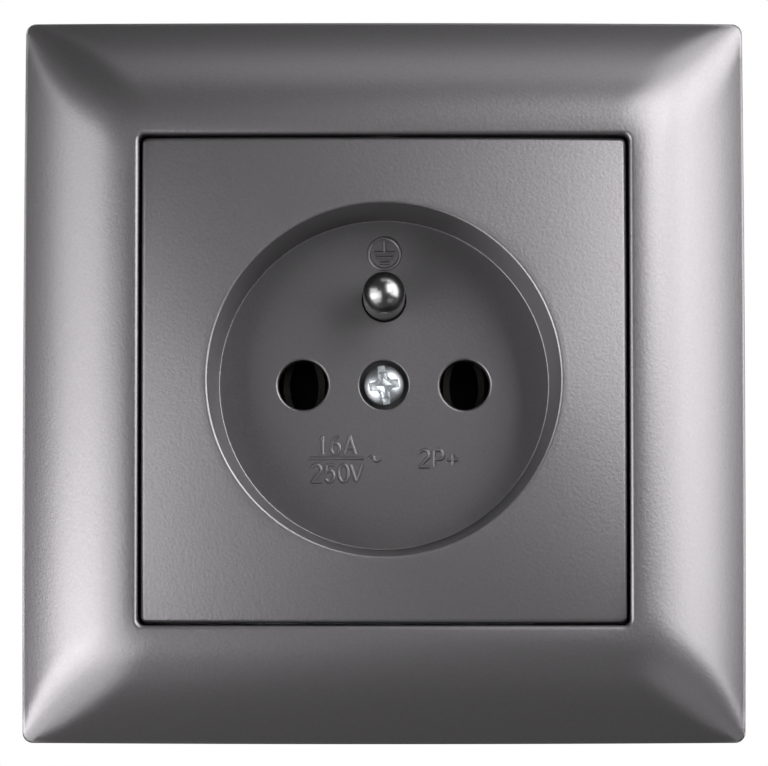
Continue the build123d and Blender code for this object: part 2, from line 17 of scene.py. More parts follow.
import bmesh
import bpy
import numpy as np
from bpy.types import ID, Material, Mesh, Node, NodeOutputs, NodeSocket, NodeTree, Object
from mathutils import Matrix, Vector

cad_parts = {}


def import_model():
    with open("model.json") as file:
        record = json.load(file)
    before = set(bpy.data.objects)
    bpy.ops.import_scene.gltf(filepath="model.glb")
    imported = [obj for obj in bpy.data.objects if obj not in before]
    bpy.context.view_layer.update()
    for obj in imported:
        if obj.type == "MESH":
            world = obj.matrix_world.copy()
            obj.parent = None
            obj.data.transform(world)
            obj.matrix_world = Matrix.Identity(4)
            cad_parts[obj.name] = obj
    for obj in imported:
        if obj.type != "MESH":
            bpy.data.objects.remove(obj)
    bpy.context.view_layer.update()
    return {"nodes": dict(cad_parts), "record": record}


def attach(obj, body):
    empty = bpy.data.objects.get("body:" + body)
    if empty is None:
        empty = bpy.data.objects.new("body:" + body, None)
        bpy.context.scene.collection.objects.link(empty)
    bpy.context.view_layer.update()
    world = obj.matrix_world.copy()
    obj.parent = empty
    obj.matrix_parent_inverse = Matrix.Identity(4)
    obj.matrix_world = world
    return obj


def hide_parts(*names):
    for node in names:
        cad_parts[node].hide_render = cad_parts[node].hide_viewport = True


log = logging.getLogger("wall_socket")

MM = 0.001
MERGE_DISTANCE = 1e-6
FLAT_ANGLE = math.radians(0.05)
SHARP_ANGLE = math.radians(32)
QUARTERS = 4
# How finely shapes are worked out: rounds of halving, parts of a rounded edge, sides of a thread's ridge
# and points on the rounding of a raised line
HALVINGS = 40
BEVEL_SEGMENTS = 2
RIDGE_SIDES = 4
FILLET_POINTS = 5
# Layers of noise in the patches of tone and in the grain
TONE_DETAIL = 3.0
GRAIN_DETAIL = 2.0
# Depths behind the wall plane between which the holes of the well's floor turn to the bare moulding's dark
# tone, which also stands in as painted shade inside them
UNSPRAYED_AND_SHADE_DEPTH_MM = (5.3, 5.7)
# Share of a face's normal that points back, between the last sprayed face and the first bare one
SPRAY_TURN = (0.25, 0.5)
SIDE_STATIONS = np.linspace(-1, 1, 57)
CORNER_TURNS = np.linspace(0, math.pi / 2, 10)[1:-1]

Pair = tuple[float, float]
Ring = list[bmesh.types.BMVert]


class Slot(Enum):
    """Material slots of the record."""

    LACQUER = "lacquered_moulding"
    BLACK = "black_moulding"
    ZINC = "zinc_plated_steel"
    BRONZE = "spring_bronze"
    NICKEL = "nickel_plated_brass"


def linear(colour: str) -> tuple[float, float, float, float]:
    """Turn an sRGB hex colour into linear values.

    Args:
        colour: Six hex digits, with or without a leading hash.

    Returns:
        Red, green, blue and alpha as linear numbers.
    """
    digits = colour.lstrip("#")
    channels = []
    for start in (0, 2, 4):
        value = int(digits[start : start + 2], 16) / 255
        channels.append(value / 12.92 if value <= 0.04045 else ((value + 0.055) / 1.055) ** 2.4)
    return (channels[0], channels[1], channels[2], 1.0)


def per_metre(size_mm: float) -> float:
    """Scale of a texture whose features are this many millimetres wide."""
    return 1 / (size_mm * MM)


def add_node(
    tree: NodeTree, kind: str, inputs: dict[str | int, object] | None = None, **settings: object
) -> Node:
    """Add one node with its settings and links.

    Args:
        tree: Node tree that takes the node.
        kind: Blender's identifier of the node's type.
        inputs: Constants, sockets or nodes for the node's inputs, by name or place; a node gives its first
            output.
        settings: Attributes of the node.

    Returns:
        The new node.
    """
    node = tree.nodes.new(kind)
    for name, value in settings.items():
        setattr(node, name, value)
    for key, value in (inputs or {}).items():
        if isinstance(value, Node):
            value = value.outputs[0]
        if isinstance(value, NodeSocket):
            tree.links.new(value, node.inputs[key])
        else:
            node.inputs[key].default_value = value
    return node


def new_material(name: str) -> tuple[Material, NodeTree]:
    """Start a material with an empty node tree.

    Args:
        name: The material's name.

    Returns:
        The material and its node tree.
    """
    material = bpy.data.materials.new(name)
    material.use_nodes = True
    material.node_tree.nodes.clear()
    return material, material.node_tree


@dataclass(frozen=True)
class Finish:
    """A surface with two near tones, uneven gloss and a fine bump.

    Attributes:
        name: Name of the material.
        slot: Material slot of the record.
        dark: Darker tone.
        light: Lighter tone.
        metallic: Share of metal, from 0 to 1.
        gloss: Lowest and highest roughness.
        tone_mm: Size of the patches of tone.
        grain_mm: Size of the bump's grains.
        grain_depth_mm: Depth of the bump.
        bare: Tone of the moulding where the spray of a lacquer doesn't reach, and of the painted shade in
            the deep holes, or none for a bare surface.
    """

    name: str
    slot: Slot
    dark: str
    light: str
    metallic: float
    gloss: Pair
    tone_mm: float
    grain_mm: float
    grain_depth_mm: float
    bare: str = ""

    def bare_and_hole_shade_mask(self, tree: NodeTree, place: NodeSocket) -> Node:
        """Mask of the faces that look back, which a spray from the front doesn't reach, and of the deep
        holes, where the dark tone is painted shade.

        Args:
            tree: The material's node tree.
            place: Object coordinates.

        Returns:
            A node that gives 1 on the bare moulding and on the painted shade of the holes, and 0 on the
            lacquer.
        """
        normal = add_node(tree, "ShaderNodeNewGeometry").outputs["Normal"]
        depths = [depth * MM for depth in UNSPRAYED_AND_SHADE_DEPTH_MM]
        masks = []
        for vector, (start, full) in ((normal, SPRAY_TURN), (place, depths)):
            back = add_node(tree, "ShaderNodeSeparateXYZ", {0: vector}).outputs["Y"]
            limits = {"Value": back, "From Min": start, "From Max": full}
            masks.append(add_node(tree, "ShaderNodeMapRange", limits))
        return add_node(tree, "ShaderNodeMath", {0: masks[0], 1: masks[1]}, operation="MAXIMUM")

    def material(self) -> Material:
        """Build the finish's node tree.

        Returns:
            The material.
        """
        material, tree = new_material(self.name)
        place = add_node(tree, "ShaderNodeTexCoord").outputs["Object"]
        noises = []
        for size, detail in ((self.tone_mm, TONE_DETAIL), (self.grain_mm, GRAIN_DETAIL)):
            values = {"Vector": place, "Scale": per_metre(size), "Detail": detail}
            noises.append(add_node(tree, "ShaderNodeTexNoise", values))
        patches, grain = noises
        tones = {0: patches, 6: linear(self.dark), 7: linear(self.light)}
        tone = add_node(tree, "ShaderNodeMix", tones, data_type="RGBA").outputs[2]
        metal = self.metallic
        if self.bare:
            # The deep holes take the dark bare tone as painted shade; faces that look back take it as the
            # bare moulding.
            mask = self.bare_and_hole_shade_mask(tree, place)
            tones = {0: mask, 6: tone, 7: linear(self.bare)}
            tone = add_node(tree, "ShaderNodeMix", tones, data_type="RGBA").outputs[2]
            values = {"Value": mask, "To Min": self.metallic, "To Max": 0.0}
            metal = add_node(tree, "ShaderNodeMapRange", values)
        values = {"Value": grain, "To Min": self.gloss[0], "To Max": self.gloss[1]}
        gloss = add_node(tree, "ShaderNodeMapRange", values)
        values = {"Strength": 1.0, "Distance": self.grain_depth_mm * MM, "Height": grain}
        bump = add_node(tree, "ShaderNodeBump", values)
        values = {"Base Color": tone, "Metallic": metal, "Roughness": gloss, "Normal": bump}
        shader = add_node(tree, "ShaderNodeBsdfPrincipled", values)
        add_node(tree, "ShaderNodeOutputMaterial", {"Surface": shader})
        return material


# Anthracite lacquer with aluminium flakes, sprayed on a moulding: broad soft highlights and a faint grain.
# Real flakes are too fine to show, so the grain is drawn coarser than they are.
LACQUER = Finish(
    name="anthracite_metallic_lacquer",
    slot=Slot.LACQUER,
    dark="#6f6d6f",
    light="#7d7b7d",
    metallic=0.9,
    gloss=(0.335, 0.385),
    tone_mm=0.28,
    grain_mm=0.34,
    grain_depth_mm=0.013,
    # Dark tone of the bare moulding, also painted shade in the deep holes of the well's floor
    bare="#2c2c2d",
)
# Glass-filled polyamide, moulded: black, half matt, with the fine pebble of the tool
BLACK = Finish(
    name="black_polyamide_moulding",
    slot=Slot.BLACK,
    dark="#161617",
    light="#232324",
    metallic=0.0,
    gloss=(0.42, 0.58),
    tone_mm=2.5,
    grain_mm=0.35,
    grain_depth_mm=0.012,
)
# Steel with bright zinc plate: a cold white metal with slightly uneven gloss from pressing and plating
ZINC = Finish(
    name="bright_zinc_plate",
    slot=Slot.ZINC,
    dark="#c3c8cd",
    light="#dde1e4",
    metallic=1.0,
    gloss=(0.28, 0.35),
    tone_mm=1.6,
    grain_mm=0.8,
    grain_depth_mm=0.001,
)
# Spring bronze strip, its colour darkened as painted shade for the contacts deep in the holes: a deep brown
# grey metal with a dull gloss
BRONZE = Finish(
    name="shade_darkened_spring_bronze",
    slot=Slot.BRONZE,
    # Near black tones: painted shade of the contacts inside the pin holes
    dark="#2f2d2b",
    light="#3d3b38",
    metallic=1.0,
    gloss=(0.26, 0.4),
    tone_mm=1.2,
    grain_mm=0.3,
    grain_depth_mm=0.002,
)
# Nickel plate over turned brass: a dark grey satin metal, with soft-edged reflections
NICKEL = Finish(
    name="satin_nickel_plate",
    slot=Slot.NICKEL,
    dark="#787878",
    light="#868686",
    metallic=1.0,
    gloss=(0.23, 0.29),
    tone_mm=1.5,
    grain_mm=0.6,
    grain_depth_mm=0.0005,
)
FINISHES = (LACQUER, BLACK, ZINC, BRONZE, NICKEL)


def square_ring(half: float, corner: float, bow: float = 0.0) -> np.ndarray:
    """Plan of a square with rounded corners and sides that may swell.

    Args:
        half: Half the side, at the middle of a side.
        corner: Radius of the corners.
        bow: How far the middle of a side stands out from its ends.

    Returns:
        Rows of across and up, counter-clockwise.
    """
    reach = half - bow - corner
    out = np.concatenate([half - bow * SIDE_STATIONS**2, reach + corner * np.cos(CORNER_TURNS)])
    along = np.concatenate([reach * SIDE_STATIONS, reach + corner * np.sin(CORNER_TURNS)])
    plan = [np.column_stack([out, along])]
    for _ in range(QUARTERS - 1):
        across, up = plan[-1].T
        plan.append(np.column_stack([-up, across]))
    return np.concatenate(plan)


def circle_ring(radius: float, angles: np.ndarray, centre: Pair = (0.0, 0.0)) -> np.ndarray:
    """Plan of a circle with its points at given angles.

    Args:
        radius: The circle's radius.
        angles: Angles of the points, in radians.
        centre: The circle's middle, across and up.

    Returns:
        Rows of across and up.
    """
    return np.column_stack([centre[0] + radius * np.cos(angles), centre[1] + radius * np.sin(angles)])


def round_angles(count: int) -> np.ndarray:
    """Evenly spaced angles round a circle, in radians."""
    return np.arange(count) * (2 * math.pi / count)


def at_height(plan: np.ndarray, height: float | np.ndarray) -> np.ndarray:
    """Lift a plan to one height, or to a height for each of its points."""
    return np.column_stack([plan[:, 0], np.broadcast_to(height, len(plan)), plan[:, 1]])


def linked(name: str, data: ID) -> Object:
    """Link new data to the scene as an object at the origin.

    Args:
        name: Name of the object.
        data: Its mesh, curve, lamp or camera.

    Returns:
        The new object.
    """
    thing = bpy.data.objects.new(name, data)
    bpy.context.scene.collection.objects.link(thing)
    return thing


def link_piece(name: str, mesh: Mesh) -> Object:
    """Smooth a mesh's curved faces and link it to the scene as an object at the origin.

    Args:
        name: Name of the piece.
        mesh: Its mesh.

    Returns:
        The new object.
    """
    mesh.name = name
    mesh.shade_smooth()
    mesh.set_sharp_from_angle(angle=SHARP_ANGLE)
    return linked(name, mesh)


class Shell:
    """Mesh built up from closed rings of points, given as across, height and up in millimetres."""

    def __init__(self) -> None:
        """Start with an empty mesh."""
        self.work = bmesh.new()

    def ring(self, points: np.ndarray) -> Ring:
        """Add the points of one ring and return its vertices."""
        return [self.work.verts.new((x * MM, -height * MM, z * MM)) for x, height, z in points]

    def band(self, first: Ring, second: Ring) -> None:
        """Join two rings that have as many points each.

        Args:
            first: Vertices of one ring.
            second: Vertices of the other ring.
        """
        for index, vert in enumerate(first):
            after = (index + 1) % len(first)
            self.work.faces.new((vert, first[after], second[after], second[index]))

    def bands(self, rings: Sequence[np.ndarray], closed: bool = False) -> tuple[Ring, Ring]:
        """Join rings one after another.

        Args:
            rings: The rings' points.
            closed: Whether the last ring joins the first.

        Returns:
            Vertices of the first and of the last ring.
        """
        made = [self.ring(points) for points in rings]
        for first, second in zip(made, made[1:]):
            self.band(first, second)
        if closed:
            self.band(made[-1], made[0])
        return made[0], made[-1]

    def fill(self, *loops: Ring) -> None:
        """Fill the flat inside the first loop, less the loops within it.

        Args:
            loops: Vertices of the outer loop and of each loop within it.
        """
        edges = []
        for loop in loops:
            for start, end in zip(loop, loop[1:] + loop[:1]):
                edges.append(self.work.edges.get((start, end)) or self.work.edges.new((start, end)))
        bmesh.ops.triangle_fill(self.work, use_beauty=True, edges=edges)

    def block(self, rings: Sequence[np.ndarray]) -> None:
        """Join rings one after another and close both ends."""
        for end in self.bands(rings):
            self.fill(end)

    def prism(self, plan: np.ndarray, low: float, high: float) -> None:
        """Add an upright block on a plan, between two heights."""
        self.block([at_height(plan, low), at_height(plan, high)])

    def lathe(self, profile: Sequence[Pair], centre: Pair, count: int) -> None:
        """Turn a profile of radius and height round an axis through a point, and close both ends.

        Args:
            profile: Radius and height of each ring, from one end to the other.
            centre: Place of the axis, across and up.
            count: Points round the axis.
        """
        angles = round_angles(count)
        self.block([at_height(circle_ring(radius, angles, centre), height) for radius, height in profile])

    def piece(self, name: str) -> Object:
        """Turn the faces outwards, smooth the curved ones and link the finished object.

        Args:
            name: Name of the piece.

        Returns:
            The new object.
        """
        bmesh.ops.recalc_face_normals(self.work, faces=self.work.faces)
        mesh = bpy.data.meshes.new(name)
        self.work.to_mesh(mesh)
        self.work.free()
        return link_piece(name, mesh)


def settled_mesh(piece: Object) -> Mesh:
    """Make an object's modified shape a plain mesh.

    Args:
        piece: Object with modifiers; it is removed.

    Returns:
        The mesh with the modifiers applied.
    """
    graph = bpy.context.evaluated_depsgraph_get()
    mesh = bpy.data.meshes.new_from_object(piece.evaluated_get(graph))
    bpy.data.objects.remove(piece)
    return mesh


def merge(mesh: Mesh) -> None:
    """Join a mesh's loose corners and the pieces of its flat faces.

    Args:
        mesh: Mesh that is changed in place.
    """
    work = bmesh.new()
    work.from_mesh(mesh)
    bmesh.ops.remove_doubles(work, verts=work.verts, dist=MERGE_DISTANCE)
    bmesh.ops.dissolve_limit(work, angle_limit=FLAT_ANGLE, verts=work.verts, edges=work.edges)
    work.to_mesh(mesh)
    work.free()


def joined(name: str, pieces: Sequence[Object]) -> Object:
    """Put several objects' meshes together in one piece and remove the objects.

    Args:
        name: Name of the new piece.
        pieces: Objects at the origin.

    Returns:
        The new piece.
    """
    work = bmesh.new()
    for piece in pieces:
        work.from_mesh(piece.data)
        bpy.data.objects.remove(piece)
    mesh = bpy.data.meshes.new(name)
    work.to_mesh(mesh)
    work.free()
    return link_piece(name, mesh)


def finished_copy(node: str, name: str) -> Object:
    """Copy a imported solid's mesh, merge its loose triangles and smooth its curved faces.

    Args:
        node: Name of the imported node.
        name: Name of the new piece.

    Returns:
        The new object, linked to the scene at the origin.
    """
    mesh = bpy.data.objects[node].data.copy()
    merge(mesh)
    mesh.materials.clear()
    return link_piece(name, mesh)


def softened(piece: Object, width_mm: float) -> Object:
    """Round a piece's sharp edges as pressing, moulding or plating leaves them, and keep its flats flat.

    Args:
        piece: Object at the origin; it is removed.
        width_mm: Width of the rounding.

    Returns:
        The new piece.
    """
    bevel = piece.modifiers.new("rounding", "BEVEL")
    bevel.width = width_mm * MM
    bevel.segments = BEVEL_SEGMENTS
    bevel.limit_method = "ANGLE"
    bevel.angle_limit = SHARP_ANGLE
    piece.modifiers.new("flats", "WEIGHTED_NORMAL").keep_sharp = True
    name = piece.name
    mesh = settled_mesh(piece)
    mesh.name = name
    return linked(name, mesh)


def carved(piece: Object, cutters: Sequence[Object]) -> Object:
    """Cut shapes out of a piece.

    Args:
        piece: Object at the origin; it is removed.
        cutters: Closed shapes to take away; they are removed too.

    Returns:
        The new piece.
    """
    for cutter in cutters:
        cut = piece.modifiers.new(cutter.name, "BOOLEAN")
        cut.operation = "DIFFERENCE"
        cut.object = cutter
    name = piece.name
    mesh = settled_mesh(piece)
    for cutter in cutters:
        bpy.data.objects.remove(cutter)
    merge(mesh)
    return link_piece(name, mesh)


def new_tree(name: str, sizes: dict[str, str]) -> tuple[NodeTree, NodeOutputs]:
    """Start a Geometry Nodes tree with a shape, named sizes and a finish going in.

    Args:
        name: Name of the tree.
        sizes: Kinds of the further inputs, by name.

    Returns:
        The tree and the sockets of what goes in.
    """
    tree = bpy.data.node_groups.new(name, "GeometryNodeTree")
    for label, kind in {"Shape": "Geometry", **sizes, "Finish": "Material"}.items():
        tree.interface.new_socket(label, in_out="INPUT", socket_type=f"NodeSocket{kind}")
    tree.interface.new_socket("Piece", in_out="OUTPUT", socket_type="NodeSocketGeometry")
    return tree, add_node(tree, "NodeGroupInput").outputs


def end_tree(tree: NodeTree, geometry: Node, finish: NodeSocket) -> None:
    """Make the tree's instances real, set their material and close the tree.

    Args:
        tree: The tree to close.
        geometry: Node that gives the finished shape.
        finish: Socket that gives its material.
    """
    real = add_node(tree, "GeometryNodeRealizeInstances", {"Geometry": geometry})
    dressed = add_node(tree, "GeometryNodeSetMaterial", {"Geometry": real, "Material": finish})
    add_node(tree, "NodeGroupOutput", {"Piece": dressed})


def grown(piece: Object, tree: NodeTree, values: dict[str, object]) -> Object:
    """Run a Geometry Nodes tree on an object and keep the result as a plain mesh.

    Args:
        piece: Object at the origin; it is removed.
        tree: The tree to run.
        values: Values of the tree's inputs, by name.

    Returns:
        The new piece.
    """
    modifier = piece.modifiers.new(tree.name, "NODES")
    modifier.node_group = tree
    for socket in tree.interface.items_tree:
        if socket.in_out == "INPUT" and socket.name in values:
            modifier[socket.identifier] = values[socket.name]
    name = piece.name
    return link_piece(name, settled_mesh(piece))


def turned_copies_tree() -> NodeTree:
    """Make the tree that repeats a shape round the socket's axis.

    Returns:
        The tree, with the count and the step as inputs.
    """
    tree, given = new_tree("turned_copies", {"Count": "Int", "Step": "Float"})
    values = {"Count": given["Count"], "Offset": (0.0, 0.0, 0.0)}
    points = add_node(tree, "GeometryNodeMeshLine", values)
    index = add_node(tree, "GeometryNodeInputIndex")
    angle = add_node(tree, "ShaderNodeMath", {0: index, 1: given["Step"]}, operation="MULTIPLY")
    values = {"Axis": (0.0, 1.0, 0.0), "Angle": angle}
    turn = add_node(tree, "FunctionNodeAxisAngleToRotation", values)
    values = {"Points": points, "Instance": given["Shape"], "Rotation": turn}
    copies = add_node(tree, "GeometryNodeInstanceOnPoints", values)
    end_tree(tree, copies, given["Finish"])
    return tree


def thread_tree() -> NodeTree:
    """Make the tree that winds a screw thread round a shank that lies along Y.

    Returns:
        The tree, with the thread's sizes and place as inputs.
    """
    lengths = {name: "Float" for name in ("Turns", "Radius", "Length", "Depth")}
    tree, given = new_tree("screw_thread", {**lengths, "Points": "Int", "Place": "Vector"})
    values = {
        "Resolution": given["Points"],
        "Rotations": given["Turns"],
        "Start Radius": given["Radius"],
        "End Radius": given["Radius"],
        "Height": given["Length"],
    }
    spiral = add_node(tree, "GeometryNodeCurveSpiral", values)
    upright = add_node(tree, "GeometryNodeSetCurveNormal", {"Curve": spiral}, mode="Z_UP")
    values = {"Resolution": RIDGE_SIDES, "Radius": given["Depth"]}
    profile = add_node(tree, "GeometryNodeCurvePrimitiveCircle", values)
    values = {"Curve": upright, "Profile Curve": profile, "Fill Caps": True}
    ridge = add_node(tree, "GeometryNodeCurveToMesh", values)
    values = {"Geometry": ridge, "Translation": given["Place"], "Rotation": (-math.pi / 2, 0.0, 0.0)}
    placed = add_node(tree, "GeometryNodeTransform", values)
    both = add_node(tree, "GeometryNodeJoinGeometry")
    for geometry in (given["Shape"], placed.outputs[0]):
        tree.links.new(geometry, both.inputs[0])
    end_tree(tree, both, given["Finish"])
    return tree


def raised_line_tree() -> NodeTree:
    """Make the tree that gives drawn lines a low section with a rounded top.

    Returns:
        The tree, with the section's sizes as inputs.
    """
    tree, given = new_tree("raised_line", {name: "Float" for name in ("Width", "Height", "Rounding")})
    values = {"Width": given["Height"], "Height": given["Width"]}
    section = add_node(tree, "GeometryNodeCurvePrimitiveQuadrilateral", values)
    values = {"Curve": section, "Count": FILLET_POINTS, "Radius": given["Rounding"]}
    rounded = add_node(tree, "GeometryNodeFilletCurve", values, mode="POLY")
    values = {"Curve": given["Shape"], "Normal": (0.0, -1.0, 0.0)}
    facing = add_node(tree, "GeometryNodeSetCurveNormal", values, mode="FREE")
    values = {"Curve": facing, "Profile Curve": rounded, "Fill Caps": True}
    line = add_node(tree, "GeometryNodeCurveToMesh", values)
    end_tree(tree, line, given["Finish"])
    return tree


@dataclass
class Dresser:
    """Gives each piece its finish and body, and hides the nodes that it replaces."""

    materials: dict[Slot, Material]

    def dress(self, piece: Object, slot: Slot, body: str, nodes: Sequence[str] = ()) -> None:
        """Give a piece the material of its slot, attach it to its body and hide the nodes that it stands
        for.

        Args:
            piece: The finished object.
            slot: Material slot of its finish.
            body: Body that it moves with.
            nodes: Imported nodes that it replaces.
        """
        piece.data.materials.clear()
        piece.data.materials.append(self.materials[slot])
        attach(piece, body)
        if nodes:
            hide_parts(*nodes)
        log.info("%s rides %s", piece.name, body)


@dataclass
class Moulding:
    """A lacquered moulding that repeats some details on its four sides.

    Attributes:
        copies: Tree that repeats a shape round the axis.
        lacquer: Material of the moulding.
    """

    copies: NodeTree
    lacquer: Material

    def completed(self, name: str, shell: Shell, details: Shell) -> Object:
        """Join the moulding's shell with the details of its four sides.

        Args:
            name: Name of the piece.
            shell: The moulding's shell.
            details: The details of one side.

        Returns:
            The finished piece.
        """
        values = {"Count": QUARTERS, "Step": 2 * math.pi / QUARTERS, "Finish": self.lacquer}
        repeated = grown(details.piece(f"{name}_details"), self.copies, values)
        return joined(name, [shell.piece(f"{name}_shell"), repeated])


@dataclass
class CoverFrame(Moulding):
    """Crowned square moulding round the centre plate, hollow at the back. Sizes in millimetres."""

    half: float = 41.5
    bow: float = 0.15
    wall: float = 2.0
    corner: float = 1.2
    crown_corner: float = 3.0
    corner_growth: float = 5.0
    corner_hold: float = 4.0
    inner_slope: float = math.radians(8)
    brow_slope: float = math.radians(-5.5)
    outer_slope: float = math.radians(45)
    front: float = 10.0
    rim_rounding: float = 0.6
    opening_half: float = 27.8
    opening_corner: float = 0.8
    opening_rounding: float = 0.4
    collar_wall: float = 1.5
    collar_back: float = 4.2
    sharp_corner: float = 0.05
    foot_chamfer: float = 0.12
    seat_back: float = 1.0
    seat_front: float = 3.0
    seat_reach: float = 2.6
    seat_length: float = 12.0
    rib_half_thickness: float = 0.6
    rib_half_spacing: float = 16.0
    rib_back: float = 5.0
    sink: float = 0.1
    crown_rows: int = 64
    hollow_rows: int = 12
    rounding_rows: int = 6
    opening_rows: int = 8

    def __post_init__(self) -> None:
        """Work out the arc of the crown and of the hollow under it."""
        sines = math.sin(self.outer_slope) - math.sin(self.inner_slope)
        self.radius = (self.half - self.opening_half) / sines
        self.axis = self.opening_half - self.radius * math.sin(self.inner_slope)
        self.centre = self.front - self.radius * math.cos(self.inner_slope)
        self.rim = self.centre + self.radius * math.cos(self.outer_slope)
        self.hollow_radius = self.radius - self.wall
        self.hollow_slope = math.asin((self.half - self.wall - self.axis) / self.hollow_radius)
        self.collar_half = self.opening_half + self.collar_wall

    def arc_slopes(self, plan: np.ndarray, radius: float, last_slope: float) -> np.ndarray:
        """Slope of the crown's arc over points of the plan, found by halving the slope's range.

        Args:
            plan: Rows of across and up.
            radius: Radius of the crown's arc.
            last_slope: Slope at the arc's outer end, in radians.

        Returns:
            A slope for each point, in radians.
        """
        across, up = np.abs(plan).T
        width = self.axis + radius * math.sin(last_slope) - self.opening_half
        low = np.zeros(len(plan))
        high = np.full(len(plan), last_slope)
        for _ in range(HALVINGS):
            slope = (low + high) / 2
            half = self.axis + radius * np.sin(slope)
            share = np.maximum(half - self.opening_half, 0) / width
            hold = 1 - share**self.corner_hold
            corner = self.corner + (self.crown_corner + self.corner_growth * share - self.corner) * hold
            past_x = across - half + self.bow * share * (up / half) ** 2 + corner
            past_z = up - half + self.bow * share * (across / half) ** 2 + corner
            outside = np.hypot(np.maximum(past_x, 0), np.maximum(past_z, 0))
            outside += np.minimum(np.maximum(past_x, past_z), 0) - corner
            low = np.where(outside > 0, slope, low)
            high = np.where(outside > 0, high, slope)
        return (low + high) / 2

    def brow_height(self, slopes: np.ndarray) -> np.ndarray:
        """Height of the outside, which leaves the opening flatter than the arc and meets it at the rim.

        Args:
            slopes: Slope of the arc at each point, in radians.

        Returns:
            A height for each point.
        """
        width = self.half - self.opening_half
        share = (self.axis + self.radius * np.sin(slopes) - self.opening_half) / width
        start = math.tan(self.brow_slope)
        end = math.tan(self.outer_slope)
        gain = 6 * (self.front - self.rim) / width - 4 * start - 2 * end
        last = end - start - gain
        peak = (math.sqrt(gain**2 - 4 * last * start) - gain) / (2 * last)
        fall, rise = (start * s + gain * s**2 / 2 + last * s**3 / 3 for s in (share, peak))
        return self.front - width * (fall - rise)

    def crown(self) -> list[np.ndarray]:
        """Lay the rings from the opening's edge out to the rim.

        Returns:
            The rings, from the opening outwards.
        """
        step_in = self.opening_rounding * (1 + math.sin(self.brow_slope))
        step_out = self.rim_rounding * (1 - math.sin(self.outer_slope))
        rings = []
        for share in np.linspace(0, 1, self.crown_rows):
            half = (self.opening_half + step_in) * (1 - share) + (self.half - step_out) * share
            corner = (self.opening_corner + step_in) * (1 - share) + (self.corner - step_out) * share
            plan = square_ring(half, corner, self.bow * share)
            slopes = self.arc_slopes(plan, self.radius, self.outer_slope)
            rings.append(at_height(plan, self.brow_height(slopes)))
        return rings

    def rim_and_foot(self) -> list[np.ndarray]:
        """Lay the rings round the rim, down the outer wall and across its foot.

        Returns:
            The rings, from the rim to the inside of the foot.
        """
        reach = self.rim_rounding * math.tan(self.outer_slope / 2)
        rings = []
        for turn in np.linspace(self.outer_slope, math.pi / 2, self.rounding_rows)[1:]:
            step = self.rim_rounding * (1 - math.sin(turn))
            plan = square_ring(self.half - step, self.corner - step, self.bow)
            rings.append(at_height(plan, self.rim - reach + self.rim_rounding * math.cos(turn)))
        outer = square_ring(self.half, self.corner, self.bow)
        inset = square_ring(self.half - self.foot_chamfer, self.corner - self.foot_chamfer, self.bow)
        inner = square_ring(self.half - self.wall, self.corner, self.bow)
        return rings + [at_height(outer, self.foot_chamfer), at_height(inset, 0.0), at_height(inner, 0.0)]

    def hollow(self) -> list[np.ndarray]:
        """Lay the rings up the inner wall, across the inside of the crown and round the collar.

        Returns:
            The rings, from the inner wall to the back of the opening.
        """
        rings = []
        for share in np.linspace(0, 1, self.hollow_rows):
            half = (self.half - self.wall) * (1 - share) + self.collar_half * share
            corner = self.corner * (1 - share) + self.sharp_corner * share
            plan = square_ring(half, corner, self.bow * (1 - share))
            slopes = self.arc_slopes(plan, self.hollow_radius, self.hollow_slope)
            rings.append(at_height(plan, self.centre + self.hollow_radius * np.cos(slopes)))
        collar = square_ring(self.collar_half, self.sharp_corner)
        opening = square_ring(self.opening_half, self.opening_corner)
        return rings + [at_height(collar, self.collar_back), at_height(opening, self.collar_back)]

    def opening(self, first_crown_ring: np.ndarray) -> list[np.ndarray]:
        """Lay the rings of the opening's rounded edge.

        Args:
            first_crown_ring: The crown's ring next to the opening.

        Returns:
            The rings, from inside the opening up to the crown.
        """
        centre = first_crown_ring[:, 1] - self.opening_rounding * math.cos(self.brow_slope)
        rings = []
        for turn in np.linspace(0, math.pi / 2 + self.brow_slope, self.opening_rows)[:-1]:
            step = self.opening_rounding * (1 - math.cos(turn))
            plan = square_ring(self.opening_half + step, self.opening_corner + step)
            rings.append(at_height(plan, centre + self.opening_rounding * math.sin(turn)))
        return rings

    def seat(self, details: Shell) -> None:
        """Add the stepped seat for the centre plate in one corner of the collar.

        Args:
            details: Mesh that takes the seat.
        """
        outer = self.collar_half
        start = outer - self.seat_length
        steps = (
            (self.opening_half - self.seat_reach, self.seat_front),
            (self.opening_half, self.collar_back + self.sink),
        )
        for inner, high in steps:
            leg = [(start, outer), (start, inner), (inner, inner)]
            other_leg = [(inner, start), (outer, start), (outer, outer)]
            details.prism(np.array(leg + other_leg), self.seat_back, high)

    def ribs(self, details: Shell) -> None:
        """Add the two stiffening ribs of one side, which follow the inside of the crown.

        Args:
            details: Mesh that takes the ribs.
        """
        first = math.asin((self.collar_half - self.sink - self.axis) / self.hollow_radius)
        last = math.acos((self.rib_back - self.centre) / self.hollow_radius)
        slopes = np.linspace(first, last, self.hollow_rows)
        across = self.axis + self.hollow_radius * np.sin(slopes)
        height = self.centre + self.hollow_radius * np.cos(slopes) + self.sink
        across = np.concatenate([across, across[-1:], across[:1]])
        height = np.concatenate([height, [self.rib_back, self.rib_back]])
        for middle in (-self.rib_half_spacing, self.rib_half_spacing):
            sides = (middle - self.rib_half_thickness, middle + self.rib_half_thickness)
            details.block([np.column_stack([across, height, np.full(len(across), up)]) for up in sides])

    def build(self) -> Object:
        """Build the moulding with its seats and ribs.

        Returns:
            The finished piece.
        """
        crown = self.crown()
        shell = Shell()
        shell.bands(crown + self.rim_and_foot() + self.hollow() + self.opening(crown[0]), closed=True)
        details = Shell()
        self.seat(details)
        self.ribs(details)
        return self.completed("cover_frame_moulding", shell, details)


